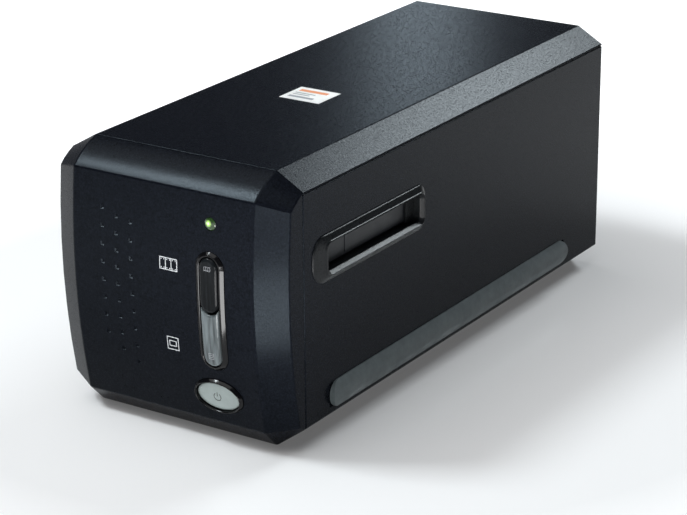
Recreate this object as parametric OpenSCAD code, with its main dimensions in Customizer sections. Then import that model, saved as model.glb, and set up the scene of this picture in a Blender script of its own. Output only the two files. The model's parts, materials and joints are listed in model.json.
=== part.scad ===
// Desktop scanner for 35 mm film negatives and slides.
// Frame: +X right, +Y to the rear, +Z up. The origin is on the table under the middle of the casing.
// The bowed front looks along -Y, and the film holder travels along X through both side walls.

/* [Casing] */
// Width over the side walls
body_w = 115; // [112:0.5:122]
// Height from the table to the top
body_h = 118.5; // [116:0.5:128]
// Depth from the bowed front to the rear edge
body_d = 272; // [268:1:290]
// Wall of the casing mouldings
wall = 2.5; // [2:0.1:3]
// Width of the long corner chamfers
corner_w = 12.65; // [10:0.05:14]
// Height of the top corner chamfers
top_corner_h = 7.35; // [6:0.05:9]
// Height of the bottom corner chamfers
bottom_corner_h = 9.3; // [8:0.1:11]
// How far the upper cover wraps below the top chamfer
cover_wrap = 0.8; // [0.4:0.1:1.5]
// Height of the cover's locating lip
lip_h = 3; // [2:0.5:5]
// Thickness of the locating lips
lip_t = 1.5; // [1.2:0.1:2]
// Gap along the casing seams
seam_gap = 0.2; // [0.1:0.05:0.3]
// Radius of the cover screw posts
post_r = 3.8; // [3.6:0.1:4]
// Height at which the cover posts meet the case posts
post_split_z = 60; // [50:1:68]
// Distance of the rear panel from the rear edge
rear_recess = 2; // [1.5:0.5:4]
// Width of the label on the top
label_w = 20.5; // [15:0.5:30]
// Depth of the label on the top
label_d = 17.5; // [12:0.5:25]
// Distance of the label's middle behind the foremost line
label_from_front = 109; // [60:1:200]

/* [Front bezel] */
// Depth of the front bezel moulding
bezel_d = 17.3; // [16:0.1:20]
// Radius of the bow of the front face, seen from the side
bow_r = 303; // [280:1:340]
// Height of the foremost line of the bow
bow_z = 71.2; // [66:0.2:76]
// Height of the bevel above the front face
top_bevel_h = 9.55; // [8:0.05:11]
// How far the bezel is set back along its side edges
side_setback = 7; // [5:0.1:9]
// Side of the square dimples
dimple = 1.8; // [1:0.1:2.5]
// Depth of the square dimples
dimple_depth = 0.6; // [0.3:0.1:1]

/* [Controls] */
// Distance of the controls from the middle of the front
control_x = 24.1; // [22:0.1:26]
// Height of the status light
light_z = 97; // [95:0.5:99]
// Radius of the status light lens
light_r = 2.6; // [1.5:0.1:3]
// Width of the glossy button surround
surround_w = 13.8; // [13:0.1:16]
// Height of the lower end of the surround
surround_z = 34.1; // [33:0.1:36]
// Length of the surround
surround_l = 51.4; // [50:0.1:54]
// Width of the scan buttons
button_w = 8.6; // [7.6:0.1:9]
// Height of the gap between the scan buttons
button_split_z = 60; // [58:0.1:61]
// How far the scan buttons stand out of the front
button_proud = 2; // [1.4:0.1:2.6]
// Travel of the scan buttons
button_travel = 0.8; // [0.4:0.1:1]
// Height of the power button's middle
power_z = 22; // [21:0.1:23]
// Width of the oval power button
power_w = 20.8; // [18:0.1:22]
// Height of the oval power button
power_h = 12; // [10:0.1:13]
// Width of the ring around the power button
ring_t = 1.7; // [1.2:0.1:2]
// Travel of the power button
power_travel = 1; // [0.5:0.1:1.2]

/* [Film slot] */
// Distance of the slot's middle behind the foremost line
slot_from_front = 68.65; // [67:0.05:74]
// Height of the slot's middle
slot_z = 79.25; // [78:0.25:82]
// Length of the rim around the slot mouth
rim_l = 72.7; // [70:0.1:76]
// Height of the rim around the slot mouth
rim_h = 12.1; // [12:0.1:14]
// Height of the sloped border above and below the rim
border_h = 4; // [3:0.1:5]
// Length of the sloped border in front of the rim
nose_l = 10.3; // [7:0.1:12]
// How far the slot bezels and the bumpers stand out of the walls
side_proud = 2.5; // [2:0.1:3.5]
// Width of the film holder that the slot takes
holder_w = 59; // [56:0.5:61]
// Thickness of the film holder that the slot takes
holder_t = 8.4; // [7:0.1:8.6]
// Thickness of the dust doors
door_t = 1.4; // [1:0.1:1.6]
// Radius of the door pins
door_pin_r = 0.6; // [0.4:0.05:0.7]

/* [Side bumpers and feet] */
// Height of the bumper strips
bumper_h = 12; // [10:0.5:14]
// Height of the lower edge of the bumper strips
bumper_z = 12; // [11:0.5:16]
// Length of the bumper strips
bumper_l = 203; // [180:1:210]
// Distance of the bumper strips' middle behind the foremost line
bumper_from_front = 136.5; // [133:0.5:139]
// Radius of the rubber feet
foot_r = 7; // [5:0.5:8]
// Height of the feet below the casing
foot_h = 0.8; // [0.6:0.1:1.5]
// Distance of the front feet behind the foremost line
foot_from_front = 37; // [32:1:45]
// Distance of the rear feet from the rear edge
foot_from_rear = 25; // [20:1:40]

/* [Scan carriage] */
// Travel of the scan carriage
scan_travel = 34; // [28:1:34]
// Height of the optical axis
optic_z = 44; // [43.5:0.5:48]
// Radius of the lens barrel
lens_r = 8.5; // [7:0.5:9]
// Width of the scan mirror
mirror_w = 42; // [38:1:44]
// Height of the guide rods
rod_z = 22; // [21.5:0.5:24]
// Radius of the guide rods
rod_r = 3; // [2:0.25:3.5]
// Distance of each guide rod from the side of the carriage
rod_inset = 6; // [5.5:0.25:8]
// Wall of the rod bushings
bushing_t = 2; // [1:0.25:2.25]

/* [Drive] */
// Gear module
gear_m = 0.6; // [0.5:0.05:0.65]
// Teeth of the motor pinion
pinion_teeth = 17; // [17:2:19]
// Teeth of the driven gear
gear_teeth = 51; // [45:2:53]
// Face width of the gears
gear_w = 4; // [3:0.5:5]
// Radius of the belt pulleys
pulley_r = 6; // [5.5:0.1:6.2]
// Width of the timing belt
belt_w = 6; // [4:0.5:6.5]
// Thickness of the timing belt
belt_t = 1.2; // [0.8:0.1:1.4]
// Radius of the pulley shafts
shaft_r = 1.5; // [1:0.1:1.8]
// Radius of the stepper motor
motor_r = 17.5; // [14:0.5:18]
// Height of the stepper motor
motor_h = 20; // [16:1:23]

/* [Electronics] */
// Thickness of the circuit boards
board_t = 1.6; // [1:0.2:2]
// Height of the underside of the main board
board_z = 56; // [54:0.5:60]
// Distance of the sockets from the middle of the rear
socket_x = 20; // [16:0.5:26]

/* [Hidden] */
$fn = 48;
// Gap of pieces that move past each other
slide_gap = 0.3;
// Gap of pieces that are pushed into each other
fit = 0.15;
// Gap of pieces that are pressed or glued into each other
press = 0.01;
// Radial clearance of a shaft that turns in a bore
run_fit = 0.04;
// Overlap that joins two shapes of one solid, and lets a cut pass a face
eps = 0.01;
half_w = body_w / 2;
flat_half = half_w - corner_w;
front_y = (button_proud - body_d) / 2;
rear_y = front_y + body_d;
seam_y = front_y + bezel_d;
seam_z = body_h - top_corner_h - cover_wrap;
floor_z = foot_h + wall;
case_front = seam_y + seam_gap;
tongue_l = 3;
lip_in = wall + fit;
black = [0.07, 0.075, 0.085];
steel = [0.72, 0.73, 0.75];
board_green = [0.08, 0.3, 0.16];

// ---------- shared shapes ----------

// Extrudes a section in (x, z) from y0 to y1.
module along_y(y0, y1) translate([0, y1, 0]) rotate([90, 0, 0]) linear_extrude(y1 - y0) children();

// Extrudes a section in (y, z) from x0 to x1.
module along_x(x0, x1) translate([x0, 0, 0]) rotate([90, 0, 90]) linear_extrude(x1 - x0) children();

// A block between two corners.
module block(low, high) translate(low) cube(high - low);

// A rectangle around the origin with round corners.
module round_rect(w, h, r) {
    square([w - 2 * r, h], center = true);
    square([w, h - 2 * r], center = true);
    for (sx = [-1, 1], sy = [-1, 1])
        translate([sx * (w / 2 - r), sy * (h / 2 - r)]) circle(r);
}

// A cylinder along Y.
module rod_y(r, y0, y1) translate([0, y1, 0]) rotate([90, 0, 0]) cylinder(r = r, h = y1 - y0);

module in_pairs(x) for (s = [-1, 1]) translate([s * x, 0, 0]) children();

// Where a line parallel to a chamfer, set in by e, meets the edges that are set in too.
function cut_k(w, h, e) = 1 + e * norm([1 / w, 1 / h]);
function cut_w(w, h, e) = w * (cut_k(w, h, e) - e / h);
function cut_h(w, h, e) = h * (cut_k(w, h, e) - e / w);

// The casing's octagonal section in (x, z), set in by e on every side.
function case_half(e) = [
    [half_w - cut_w(corner_w, top_corner_h, e), body_h - e],
    [half_w - e, body_h - cut_h(corner_w, top_corner_h, e)],
    [half_w - e, foot_h + cut_h(corner_w, bottom_corner_h, e)],
    [half_w - cut_w(corner_w, bottom_corner_h, e), foot_h + e]];
module case_section(e) {
    right = case_half(e);
    polygon(concat(right, [for (i = [3:-1:0]) [-right[i][0], right[i][1]]]));
}

// A ring of the casing section between two insets.
module case_ring(e0, e1) difference() {
    case_section(e0);
    case_section(e1);
}

// Half the room between the bottom chamfers, inside the wall, at a height.
function floor_room(z) = flat_half
    + ((z - foot_h) * corner_w - wall * norm([corner_w, bottom_corner_h])) / bottom_corner_h;

// The part of a section between two heights.
module between_z(z0, z1) intersection() {
    children();
    translate([-body_w, z0]) square([2 * body_w, z1 - z0]);
}

// ---------- casing ----------

post_x = half_w - wall - post_r - 1.2;
front_post_y = seam_y + tongue_l + post_r + 1.3;
rear_post_y = rear_y - 14;
panel_t = 2.5;
panel_y = rear_y - rear_recess - panel_t;
screw_r = 1.45;
pilot_r = 1.5;
head_r = 2.75;
head_h = 2.4;
seat_t = 4;
screw_bite = 10;
post_pilot_l = 16;
rail_t = 2;

module at_feet() for (x = [-foot_x, foot_x], y = foot_y) translate([x, y, 0]) children();
module at_posts() for (x = [-post_x, post_x], y = [front_post_y, rear_post_y]) translate([x, y, 0]) children();

// Rails that hold the rear panel between them, clipped to one part of the casing.
module panel_rails(z0, z1) {
    along_y(panel_y - rail_t - fit, panel_y - fit) between_z(z0, z1) case_ring(wall / 2, wall + rail_t);
    along_y(panel_y + panel_t + fit, rear_y) between_z(z0, z1) case_ring(wall / 2, wall + 1);
}

module upper_cover() color(black) difference() {
    lip_y0 = seam_y + tongue_l + 1;
    lip_y1 = panel_y - rail_t - 0.5;
    union() {
        along_y(case_front, rear_y) between_z(seam_z, body_h) case_ring(0, wall);
        along_y(lip_y0, lip_y1) between_z(seam_z - lip_h, seam_z + 1) case_ring(lip_in, lip_in + lip_t);
        along_y(lip_y0, lip_y1) between_z(seam_z, seam_z + 1) case_ring(wall / 2, lip_in + lip_t);
        panel_rails(seam_z, body_h);
        intersection() {
            at_posts() translate([0, 0, post_split_z]) cylinder(r = post_r, h = body_h - post_split_z);
            along_y(case_front, rear_y) case_section(wall / 2);
        }
    }
    at_posts() translate([0, 0, post_split_z - eps]) cylinder(r = pilot_r, h = post_pilot_l);
}

slot_y = front_y + slot_from_front;
tunnel_t = 1.8;
tunnel_in = half_w - 6.4;
bumper_y = front_y + bumper_from_front;
peg_r = 2;
peg_y = [-0.42, -0.14, 0.14, 0.42];
groove = 0.8;
groove_land = 0.9;
foot_x = flat_half - foot_r - 0.85;
foot_y = [front_y + foot_from_front, rear_y - foot_from_rear];
foot_seat = 1.2;
stand_r = 3.5;
stand_screw_l = 5;
chassis_z = floor_z + 1.7;
chassis_t = 3;
deck_z = chassis_z + chassis_t;
tab_x = 14;
tab_y = seam_y + 6.4;
bezel_screw_l = 8;
bezel_head_h = 1.2;

module lower_case() color(black) difference() {
    union() {
        along_y(case_front, rear_y) between_z(foot_h, seam_z - seam_gap) case_ring(0, wall);
        panel_rails(foot_h, seam_z - seam_gap);
        intersection() {
            at_posts() translate([0, 0, foot_h]) cylinder(r = post_r, h = post_split_z - foot_h);
            along_y(case_front, rear_y) case_section(0);
        }
        at_stands() translate([0, 0, floor_z - eps]) cylinder(r = stand_r, h = chassis_z - floor_z + eps);
    }
    // recesses and holes of the cover screws
    at_posts() {
        translate([0, 0, foot_h - eps])
            cylinder(r = head_r + slide_gap, h = post_split_z - seat_t - foot_h + eps);
        translate([0, 0, foot_h]) cylinder(r = screw_r + fit, h = post_split_z);
    }
    in_pairs(tab_x) translate([0, tab_y, foot_h - eps]) {
        cylinder(r = screw_r + fit, h = 2 * wall);
        cylinder(r = head_r + fit, h = bezel_head_h + 0.1);
    }
    at_stands() translate([0, 0, foot_h + foot_seat]) cylinder(r = pilot_r, h = chassis_z - foot_h);
    // side openings for the slot bezels
    along_x(-half_w - 1, half_w + 1) translate([slot_y, slot_z])
        square([rim_l + 2 * tunnel_t + 2 * seam_gap, rim_h + 2 * tunnel_t + 2 * seam_gap], center = true);
    // grooves and peg holes of the bumpers
    for (s = [-1, 1]) {
        translate([s * half_w, bumper_y, bumper_z + bumper_h / 2])
            cube([2 * groove, bumper_l + fit, bumper_h - 2 * groove_land], center = true);
        for (k = peg_y) translate([s * (half_w - wall - 1), bumper_y + k * bumper_l, bumper_z + bumper_h / 2])
            rotate([0, s * 90, 0]) cylinder(r = peg_r + fit, h = wall + 1);
    }
    at_feet() translate([0, 0, foot_h - eps]) cylinder(r = foot_r + fit, h = foot_seat);
}

// ---------- front bezel ----------

bow_y = front_y + bow_r;
face_top = body_h - top_bevel_h;
face_foot = foot_h + 8.5;
foot_bevel_y = seam_y - 2.5;
side_top = body_h - top_corner_h;
side_foot = foot_h + bottom_corner_h;
bevel_bulge = 1.1;

function bow(z, r) = bow_y - sqrt(r * r - pow(z - bow_z, 2));
function curve(p, q, bulge, n) = [for (i = [0:n]) p + (q - p) * i / n + bulge * 4 * i / n * (1 - i / n)];

// A section of the bezel in (y, z): top bevel, bowed face and bottom bevel, set in by e.
function bezel_middle(e) = concat(
    curve([seam_y, body_h - e], [bow(face_top, bow_r - e), face_top - 0.5 * e], [-bevel_bulge, 0.4], 6),
    [for (i = [1:10]) let (z = face_top + (face_foot - face_top) * i / 10) [bow(z, bow_r - e), z]],
    [[foot_bevel_y, foot_h + e], [seam_y, foot_h + e]]);
function bezel_side(e) = concat(
    curve([seam_y, side_top - e], [bow(side_top - 5.65, bow_r - e) + side_setback, side_top - 5.65 - 0.5 * e],
        [-0.5, 0.2], 3),
    [for (i = [1:6]) let (z = side_top - 5.65 + (side_foot + 7.65 - side_top) * i / 6)
        [bow(z, bow_r - e) + side_setback, z]],
    [[seam_y - 0.8, side_foot + e], [seam_y, side_foot + e]]);

module bezel_body(e) hull() {
    along_x(-flat_half + 0.4 * e, flat_half - 0.4 * e) polygon(bezel_middle(e));
    along_x(-half_w + e, half_w - e) polygon(bezel_side(e));
}

// Columns of square dimples: [x, height of the top one, count, pitch].
dimple_columns = [[-30, 94.5, 8, 7.8], [-22.8, 91.8, 9, 7.3], [-15.6, 90.6, 9, 7.75]];

// The space in front of the bowed face that lies between two depths below it.
module bow_slab(depth0, depth1) along_x(-half_w, half_w) difference() {
    translate([bow_y, bow_z]) circle(bow_r - depth0, $fn = 360);
    translate([bow_y, bow_z]) circle(bow_r - depth1, $fn = 360);
    translate([0, -500]) square(1000);
}

trim_depth = 0.8;
board_y = front_y + 14;
board_post_x = 13.75;
board_posts = [for (x = [-board_post_x, board_post_x], z = [power_z + 12, light_z - 8]) [control_x + x, z]];
board_post_r = 2.5;
board_pilot_r = 1.1;
tab_half = 5;
tab_t = 2.5;
tab_boss_r = 3.2;
bezel_lip_l = 4;

module bezel_clip_tabs() in_pairs(tab_x) {
    block([-tab_half, seam_y - 3, floor_z + fit], [tab_half, tab_y + 3.5, floor_z + fit + tab_t]);
    translate([0, tab_y, floor_z + fit]) cylinder(r = tab_boss_r, h = bezel_screw_l);
}

module front_bezel() color(black) difference() {
    union() {
        difference() {
            bezel_body(0);
            bezel_body(wall);
            along_y(seam_y - 1, seam_y + 1) case_section(wall);
        }
        intersection() {
            along_y(seam_y - bezel_lip_l, seam_y + tongue_l) case_ring(lip_in, lip_in + lip_t);
            union() {
                bezel_body(1);
                along_y(seam_y - eps, seam_y + tongue_l) case_section(0);
            }
        }
        intersection() {
            along_y(seam_y - bezel_lip_l, seam_y) case_ring(1, lip_in + lip_t);
            bezel_body(1);
        }
        intersection() {
            for (p = board_posts) translate([p[0], 0, p[1]]) rod_y(board_post_r, front_y, board_y);
            bezel_body(1);
        }
        bezel_clip_tabs();
    }
    // seats of the trims, and the openings of the controls
    intersection() {
        bow_slab(-1, trim_depth);
        along_y(front_y - 5, front_y + 8) union() {
            control_stadium(surround_w + 2 * fit, surround_z - fit, surround_l + 2 * fit);
            power_oval(ring_t + fit);
        }
    }
    along_y(front_y - 5, front_y + 9) {
        button_opening();
        power_oval(slide_gap);
    }
    translate([control_x, 0, light_z]) rod_y(light_r + fit, front_y - 5, front_y + 9);
    intersection() {
        bow_slab(-1, dimple_depth);
        for (c = dimple_columns, i = [0:c[2] - 1])
            translate([c[0], front_y + 2, c[1] - i * c[3]]) cube([dimple, 12, dimple], center = true);
    }
    for (p = board_posts) translate([p[0], 0, p[1]]) rod_y(board_pilot_r, board_y - 6, board_y + 1);
    in_pairs(tab_x) translate([0, tab_y, 0]) cylinder(r = pilot_r, h = floor_z + bezel_screw_l - 1);
}

module rear_panel() color(black) difference() {
    along_y(panel_y, panel_y + panel_t) case_section(lip_in);
    translate([-socket_x, panel_y, board_top + usb_h / 2])
        cube([usb_w + 2 * slide_gap, 4 * panel_t, usb_h + 2 * slide_gap], center = true);
    translate([socket_x, panel_y, board_top + inlet_h / 2])
        cube([inlet_w + 2 * slide_gap, 4 * panel_t, inlet_h + 2 * slide_gap], center = true);
}

// ---------- film slot ----------

channel_w = holder_w + 1.4;
channel_h = holder_t + 0.6;
channel_z = slot_z - rim_h / 2 + 0.4;
hinge_x = half_w - 4.5;
barrel_r = door_pin_r + 0.55;
hinge_z = channel_z + channel_h + barrel_r + 0.1;
stop_lap = 0.7;
door_w = channel_w + 2 * stop_lap;
pocket_half = door_w / 2 + slide_gap;
pin_reach = pocket_half + 1.8;
stop_out = hinge_x + door_t / 2 + slide_gap;
stop_in = hinge_x - door_t / 2 - slide_gap;
stop_top = hinge_z - barrel_r - 0.4;
pillar_out = stop_out + 0.8;
rim_land = 0.8;
snap_l = 2;
snap_half = 4;
snap_h = 0.7;
mouth_r = 2.2;

// The raised border of a slot bezel: a long round nose in front, a tighter end behind.
module border_outline(grow) {
    h = rim_h + 2 * rim_land + 2 * grow;
    corner = 2.2 + rim_land + grow * 0.6;
    front = rim_l / 2 + rim_land + grow * nose_l / border_h;
    back = rim_l / 2 + rim_land + grow;
    nose_r = min(h / 2 - 0.1, corner + grow);
    hull() {
        for (s = [-1, 1]) {
            translate([-front + nose_r, s * (h / 2 - nose_r)]) circle(nose_r, $fn = 40);
            translate([back - corner, s * (h / 2 - corner)]) circle(corner, $fn = 32);
        }
    }
}

// The filled ends of the tunnel, beyond |y| = inner.
module tunnel_ends(x0, x1, inner) along_x(x0, x1) difference() {
    square([2 * rim_l, 2 * rim_h], center = true);
    square([2 * inner, 3 * rim_h], center = true);
}

// The bezel of the right-hand slot. The ledges that stop the shut door stand outside or inside it.
module slot_bezel(stop_outside) {
    grow = border_h - rim_land;
    translate([0, slot_y, slot_z]) difference() {
        union() {
            hull() {
                along_x(half_w, half_w + 0.3) border_outline(grow);
                along_x(half_w, half_w + 0.55 * side_proud) border_outline(grow * 0.72);
                along_x(half_w, half_w + 0.88 * side_proud) border_outline(grow * 0.34);
                along_x(half_w, half_w + side_proud) border_outline(0);
            }
            along_x(tunnel_in, half_w + eps)
                round_rect(rim_l + 2 * tunnel_t, rim_h + 2 * tunnel_t, mouth_r + tunnel_t);
            // snap hooks behind the wall
            for (s = [-1, 1], y = [-rim_l / 3, rim_l / 3])
                translate([half_w - wall - 0.2, y, s * (rim_h / 2 + tunnel_t)])
                block([-snap_l, -snap_half, -snap_h], [0, snap_half, snap_h]);
        }
        difference() {
            along_x(tunnel_in - 1, half_w + side_proud + 1) round_rect(rim_l, rim_h, mouth_r);
            tunnel_ends(tunnel_in, pillar_out, pocket_half);
            intersection() {
                if (stop_outside) tunnel_ends(stop_out, pillar_out, channel_w / 2);
                else tunnel_ends(tunnel_in, stop_in, channel_w / 2);
                block([0, -rim_l, -rim_h], [body_w, rim_l, stop_top - slot_z]);
            }
        }
        translate([hinge_x, 0, hinge_z - slot_z]) rod_y(door_pin_r, -pin_reach - 0.2, pin_reach + 0.2);
    }
}
module slot_bezel_right() color(black) slot_bezel(true);
module slot_bezel_left() color(black) mirror([1, 0, 0]) slot_bezel(false);

spring_notch = 5;
panel_front = -16;
panel_rear = 24.4;

// The right-hand dust door, shut. A raised panel faces outwards.
module dust_door() difference() {
    union() {
        translate([hinge_x, slot_y, hinge_z]) rod_y(barrel_r, -door_w / 2, door_w / 2);
        block([hinge_x - door_t / 2, slot_y - door_w / 2, channel_z + 0.3],
            [hinge_x + door_t / 2, slot_y + door_w / 2, hinge_z]);
        block([hinge_x, slot_y + panel_front, channel_z + 1.2],
            [hinge_x + door_t / 2 + 0.3, slot_y + panel_rear, hinge_z - barrel_r - 0.6]);
    }
    translate([hinge_x, slot_y, hinge_z]) rod_y(door_pin_r + run_fit, -door_w, door_w);
    block([hinge_x - 3, slot_y + door_w / 2 - 2 - spring_notch, hinge_z - barrel_r - 0.5],
        [hinge_x + 3, slot_y + door_w / 2 - 2, hinge_z + 3]);
}
module right_dust_door() color([0.1, 0.11, 0.12]) dust_door();
module left_dust_door() color([0.1, 0.11, 0.12]) mirror([1, 0, 0]) dust_door();

module door_pins() color(steel) in_pairs(hinge_x) translate([0, slot_y, hinge_z])
    rod_y(door_pin_r, -pin_reach, pin_reach);

// A round wire along a list of points that coil round Y, as one polyhedron.
module wire(path, r, sides = 6) {
    n = len(path);
    rings = [for (i = [0:n - 1])
        let (d = path[min(i + 1, n - 1)] - path[max(i - 1, 0)],
            t = d / norm(d),
            u0 = cross(t, [0, 1, 0]),
            u = u0 / norm(u0),
            v = cross(t, u))
        for (k = [0:sides - 1]) path[i] + r * (cos(k * 360 / sides) * u + sin(k * 360 / sides) * v)];
    polyhedron(rings, concat(
        [[for (k = [0:sides - 1]) k]],
        [for (i = [0:n - 2], k = [0:sides - 1]) let (a = i * sides + k, b = i * sides + (k + 1) % sides)
            each [[a, a + sides, b + sides], [a, b + sides, b]]],
        [[for (k = [sides - 1:-1:0]) (n - 1) * sides + k]]));
}

// A coil around Y that starts at y = 0.
function coil_y(r, pitch, turns, n) = [for (i = [0:turns * n])
    [r * cos(i * 360 / n), pitch * i / n, r * sin(i * 360 / n)]];

spring_wire = 0.2;
module door_springs() color(steel) for (x = [-hinge_x, hinge_x])
    translate([x, slot_y + door_w / 2 - 2 - spring_notch + 0.4, hinge_z])
        wire(coil_y(door_pin_r + spring_wire + 0.06, 0.8, 5, 9), spring_wire, 5);

track_end = tunnel_in - 0.2;
track_t = 2.4;
track_wall = 2.5;
track_h = rim_h + 1.6;
track_bridge = 1.6;
window_x = 21;
window_y = 15;
ear_y = channel_w / 2 + track_wall + 3;
ear_t = 3;
detent_w = 3;
detent_h = 3;
detent_t = 0.4;
rivet_x = 11;
rivet_r = 0.8;
track_foot = channel_z - track_t;
ledge_reach = 5;
ledge_t = 2;
pocket_in = hinge_x - (hinge_z - channel_z) - 1.5;

module film_track() color([0.16, 0.17, 0.18]) translate([0, slot_y, 0]) difference() {
    hw = channel_w / 2;
    union() {
        block([-track_end, -hw - track_wall, track_foot], [track_end, hw + track_wall, channel_z]);
        for (s = [-1, 1]) {
            translate([-track_end, s * (hw + track_wall / 2) - track_wall / 2, track_foot])
                cube([2 * track_end, track_wall, track_h + track_t]);
            translate([0, s * (hw - ledge_reach / 2 + 0.5), channel_z + channel_h + ledge_t / 2])
                cube([2 * pocket_in, ledge_reach + 1, ledge_t], center = true);
            for (x = [-ear_x, ear_x]) hull() {
                translate([x, s * ear_y, track_foot]) cylinder(r = stand_r, h = ear_t);
                translate([x, s * hw + s, track_foot]) cylinder(r = stand_r, h = ear_t);
            }
        }
        in_pairs((track_end + pocket_in) / 2) translate([0, 0, channel_z + track_h - track_bridge / 2])
            cube([track_end - pocket_in, 2 * hw + 2 * track_wall, track_bridge], center = true);
    }
    block([-window_x, -window_y, track_foot - 1], [window_x, window_y, channel_z + 1]);
    // pockets beside the doors
    in_pairs((pocket_in + track_end + 1) / 2) translate([0, 0, channel_z + (track_h - track_bridge) / 2])
        cube([track_end + 1 - pocket_in, 2 * pocket_half, track_h - track_bridge], center = true);
    block([-track_end - 1, -hw, channel_z], [track_end + 1, hw, channel_z + channel_h]);
    for (x = [-ear_x, ear_x], s = [-1, 1]) translate([x, s * ear_y, track_foot - 1])
        cylinder(r = screw_r + fit, h = ear_t + 2);
    // window of the detent bump, and the holes of its two rivets
    translate([0, -hw - track_wall - 1, channel_z + channel_h / 2]) {
        block([-detent_w, 0, -detent_h / 2 - 0.1], [detent_w, track_wall + 2, detent_h / 2 + 0.1]);
        in_pairs(rivet_x) rod_y(rivet_r, 0, track_wall + 2);
    }
}

// A leaf spring on the front wall of the track, whose bump clicks into the notches of the holder.
module holder_detent() color(steel)
    translate([0, slot_y - channel_w / 2 - track_wall, channel_z + channel_h / 2]) {
    block([-rivet_x - detent_h, -detent_t, -detent_h / 2], [rivet_x + detent_h, 0, detent_h / 2]);
    intersection() {
        translate([0, 0, 0.2 - detent_h / 2]) cylinder(r = track_wall - 0.1, h = detent_h - 0.4);
        block([-detent_w, -detent_t, -detent_h], [detent_w, track_wall, detent_h]);
    }
    in_pairs(rivet_x) rod_y(rivet_r, -1, track_wall - 0.5);
}

// ---------- side bumpers, feet, screws and label ----------

// The rounded section of a bumper in (x, z) on the right-hand wall.
bumper_round = 10;
module bumper_section() intersection() {
    translate([half_w - groove + fit, -bumper_h / 2]) square([side_proud + groove - fit, bumper_h]);
    translate([half_w + side_proud - bumper_round, 0]) circle(bumper_round, $fn = 90);
}

module bumper() translate([0, bumper_y, bumper_z + bumper_h / 2]) {
    intersection() {
        along_y(-bumper_l / 2, bumper_l / 2) bumper_section();
        along_x(half_w, half_w + 2 * side_proud) round_rect(bumper_l, bumper_h, bumper_h / 2 - 0.1);
    }
    block([half_w - groove + fit, bumper_h / 3 - bumper_l / 2, groove_land + fit - bumper_h / 2],
        [half_w + 0.2, bumper_l / 2 - bumper_h / 3, bumper_h / 2 - groove_land - fit]);
    for (k = peg_y) translate([half_w - wall - 0.6, k * bumper_l, 0])
        rotate([0, 90, 0]) cylinder(r = peg_r, h = wall);
}
module bumper_right() color([0.17, 0.19, 0.18]) bumper();
module bumper_left() color([0.17, 0.19, 0.18]) mirror([1, 0, 0]) bumper();

foot_edge = 0.4;
module rubber_feet() color([0.1, 0.1, 0.1]) at_feet() rotate_extrude()
    polygon([[0, 0], [foot_r - foot_edge, 0], [foot_r, foot_edge], [foot_r, foot_h + foot_seat - eps],
        [0, foot_h + foot_seat - eps]]);

// A screw along Z with its head down at z = 0, and a cross recess in the head.
recess_w = 0.7;
module screw(head, l) difference() {
    union() {
        cylinder(r = head_r, h = head);
        cylinder(r = screw_r, h = head + l);
    }
    for (a = [0, 90]) rotate([0, 0, a]) cube([head_r, recess_w, head], center = true);
}

module cover_screws() color(steel) at_posts() translate([0, 0, post_split_z - seat_t - head_h])
    screw(head_h, seat_t + screw_bite);

module bezel_screws() color(steel) in_pairs(tab_x) translate([0, tab_y, foot_h + 0.1 - eps])
    screw(bezel_head_h, bezel_screw_l - 1);

label_t = 0.12;
label_y = front_y + label_from_front;
module top_label() color("white") translate([-label_w / 2, label_y - label_d / 2, body_h])
    cube([label_w, label_d, label_t]);

// ---------- controls ----------

// A stadium on the control line, in (x, z).
module control_stadium(w, z0, l) translate([control_x, z0]) {
    translate([0, w / 2]) circle(w / 2);
    translate([0, l - w / 2]) circle(w / 2);
    translate([-w / 2, w / 2]) square([w, l - w]);
}

// The opening round both scan buttons, in (x, z).
module button_opening()
    control_stadium(button_w + 2 * slide_gap, surround_z + surround_end, surround_l - 2 * surround_end);

// The power button's oval, grown by g, in (x, z).
module power_oval(g) translate([control_x, power_z])
    polygon([for (a = [0:7.5:359]) [(power_w / 2 + g) * cos(a), (power_h / 2 + g) * sin(a)]]);

surround_end = 2;
trim_h = 1.3;
trim_edge = 0.5;
trim_slope_w = 1.4;

// The trim's section, turned round the axis of the bow: a flat top with sloped flanks.
module button_surround() color([0.06, 0.06, 0.065]) difference() {
    half = surround_w / 2;
    slope = (trim_h - trim_edge) / trim_slope_w;
    low = bow_r - trim_depth + eps;
    intersection() {
        translate([control_x, bow_y, bow_z]) rotate([0, 90, 0]) rotate_extrude($fn = 360)
            polygon([[low, -half - 1], [bow_r + trim_edge - slope, -half - 1],
                [bow_r + trim_h, trim_slope_w - half], [bow_r + trim_h, half - trim_slope_w],
                [bow_r + trim_edge - slope, half + 1], [low, half + 1]]);
        along_y(front_y - 5, front_y + 8) control_stadium(surround_w, surround_z, surround_l);
    }
    along_y(front_y - 5, front_y + 9) button_opening();
}

button_gap = 0.8;
button_low = surround_z + surround_end + slide_gap;
button_high = surround_z + surround_l - surround_end - slide_gap;
flange_t = 1;
stem_r = 1.8;
switch_h = 3.6;
switch_face = board_y - switch_h;

// The outline of the lower scan button: a stadium whose upper end follows the upper button.
module lower_outline() difference() {
    control_stadium(button_w, button_low, button_split_z - button_low + button_w / 2);
    translate([0, button_gap]) upper_outline(button_gap);
    translate([control_x - button_w, button_split_z + button_w / 2 - 0.5]) square(2 * button_w);
}
module upper_outline(g)
    control_stadium(button_w + 2 * g, button_split_z - 2 * g, button_high - button_split_z + 2 * g);

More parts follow.
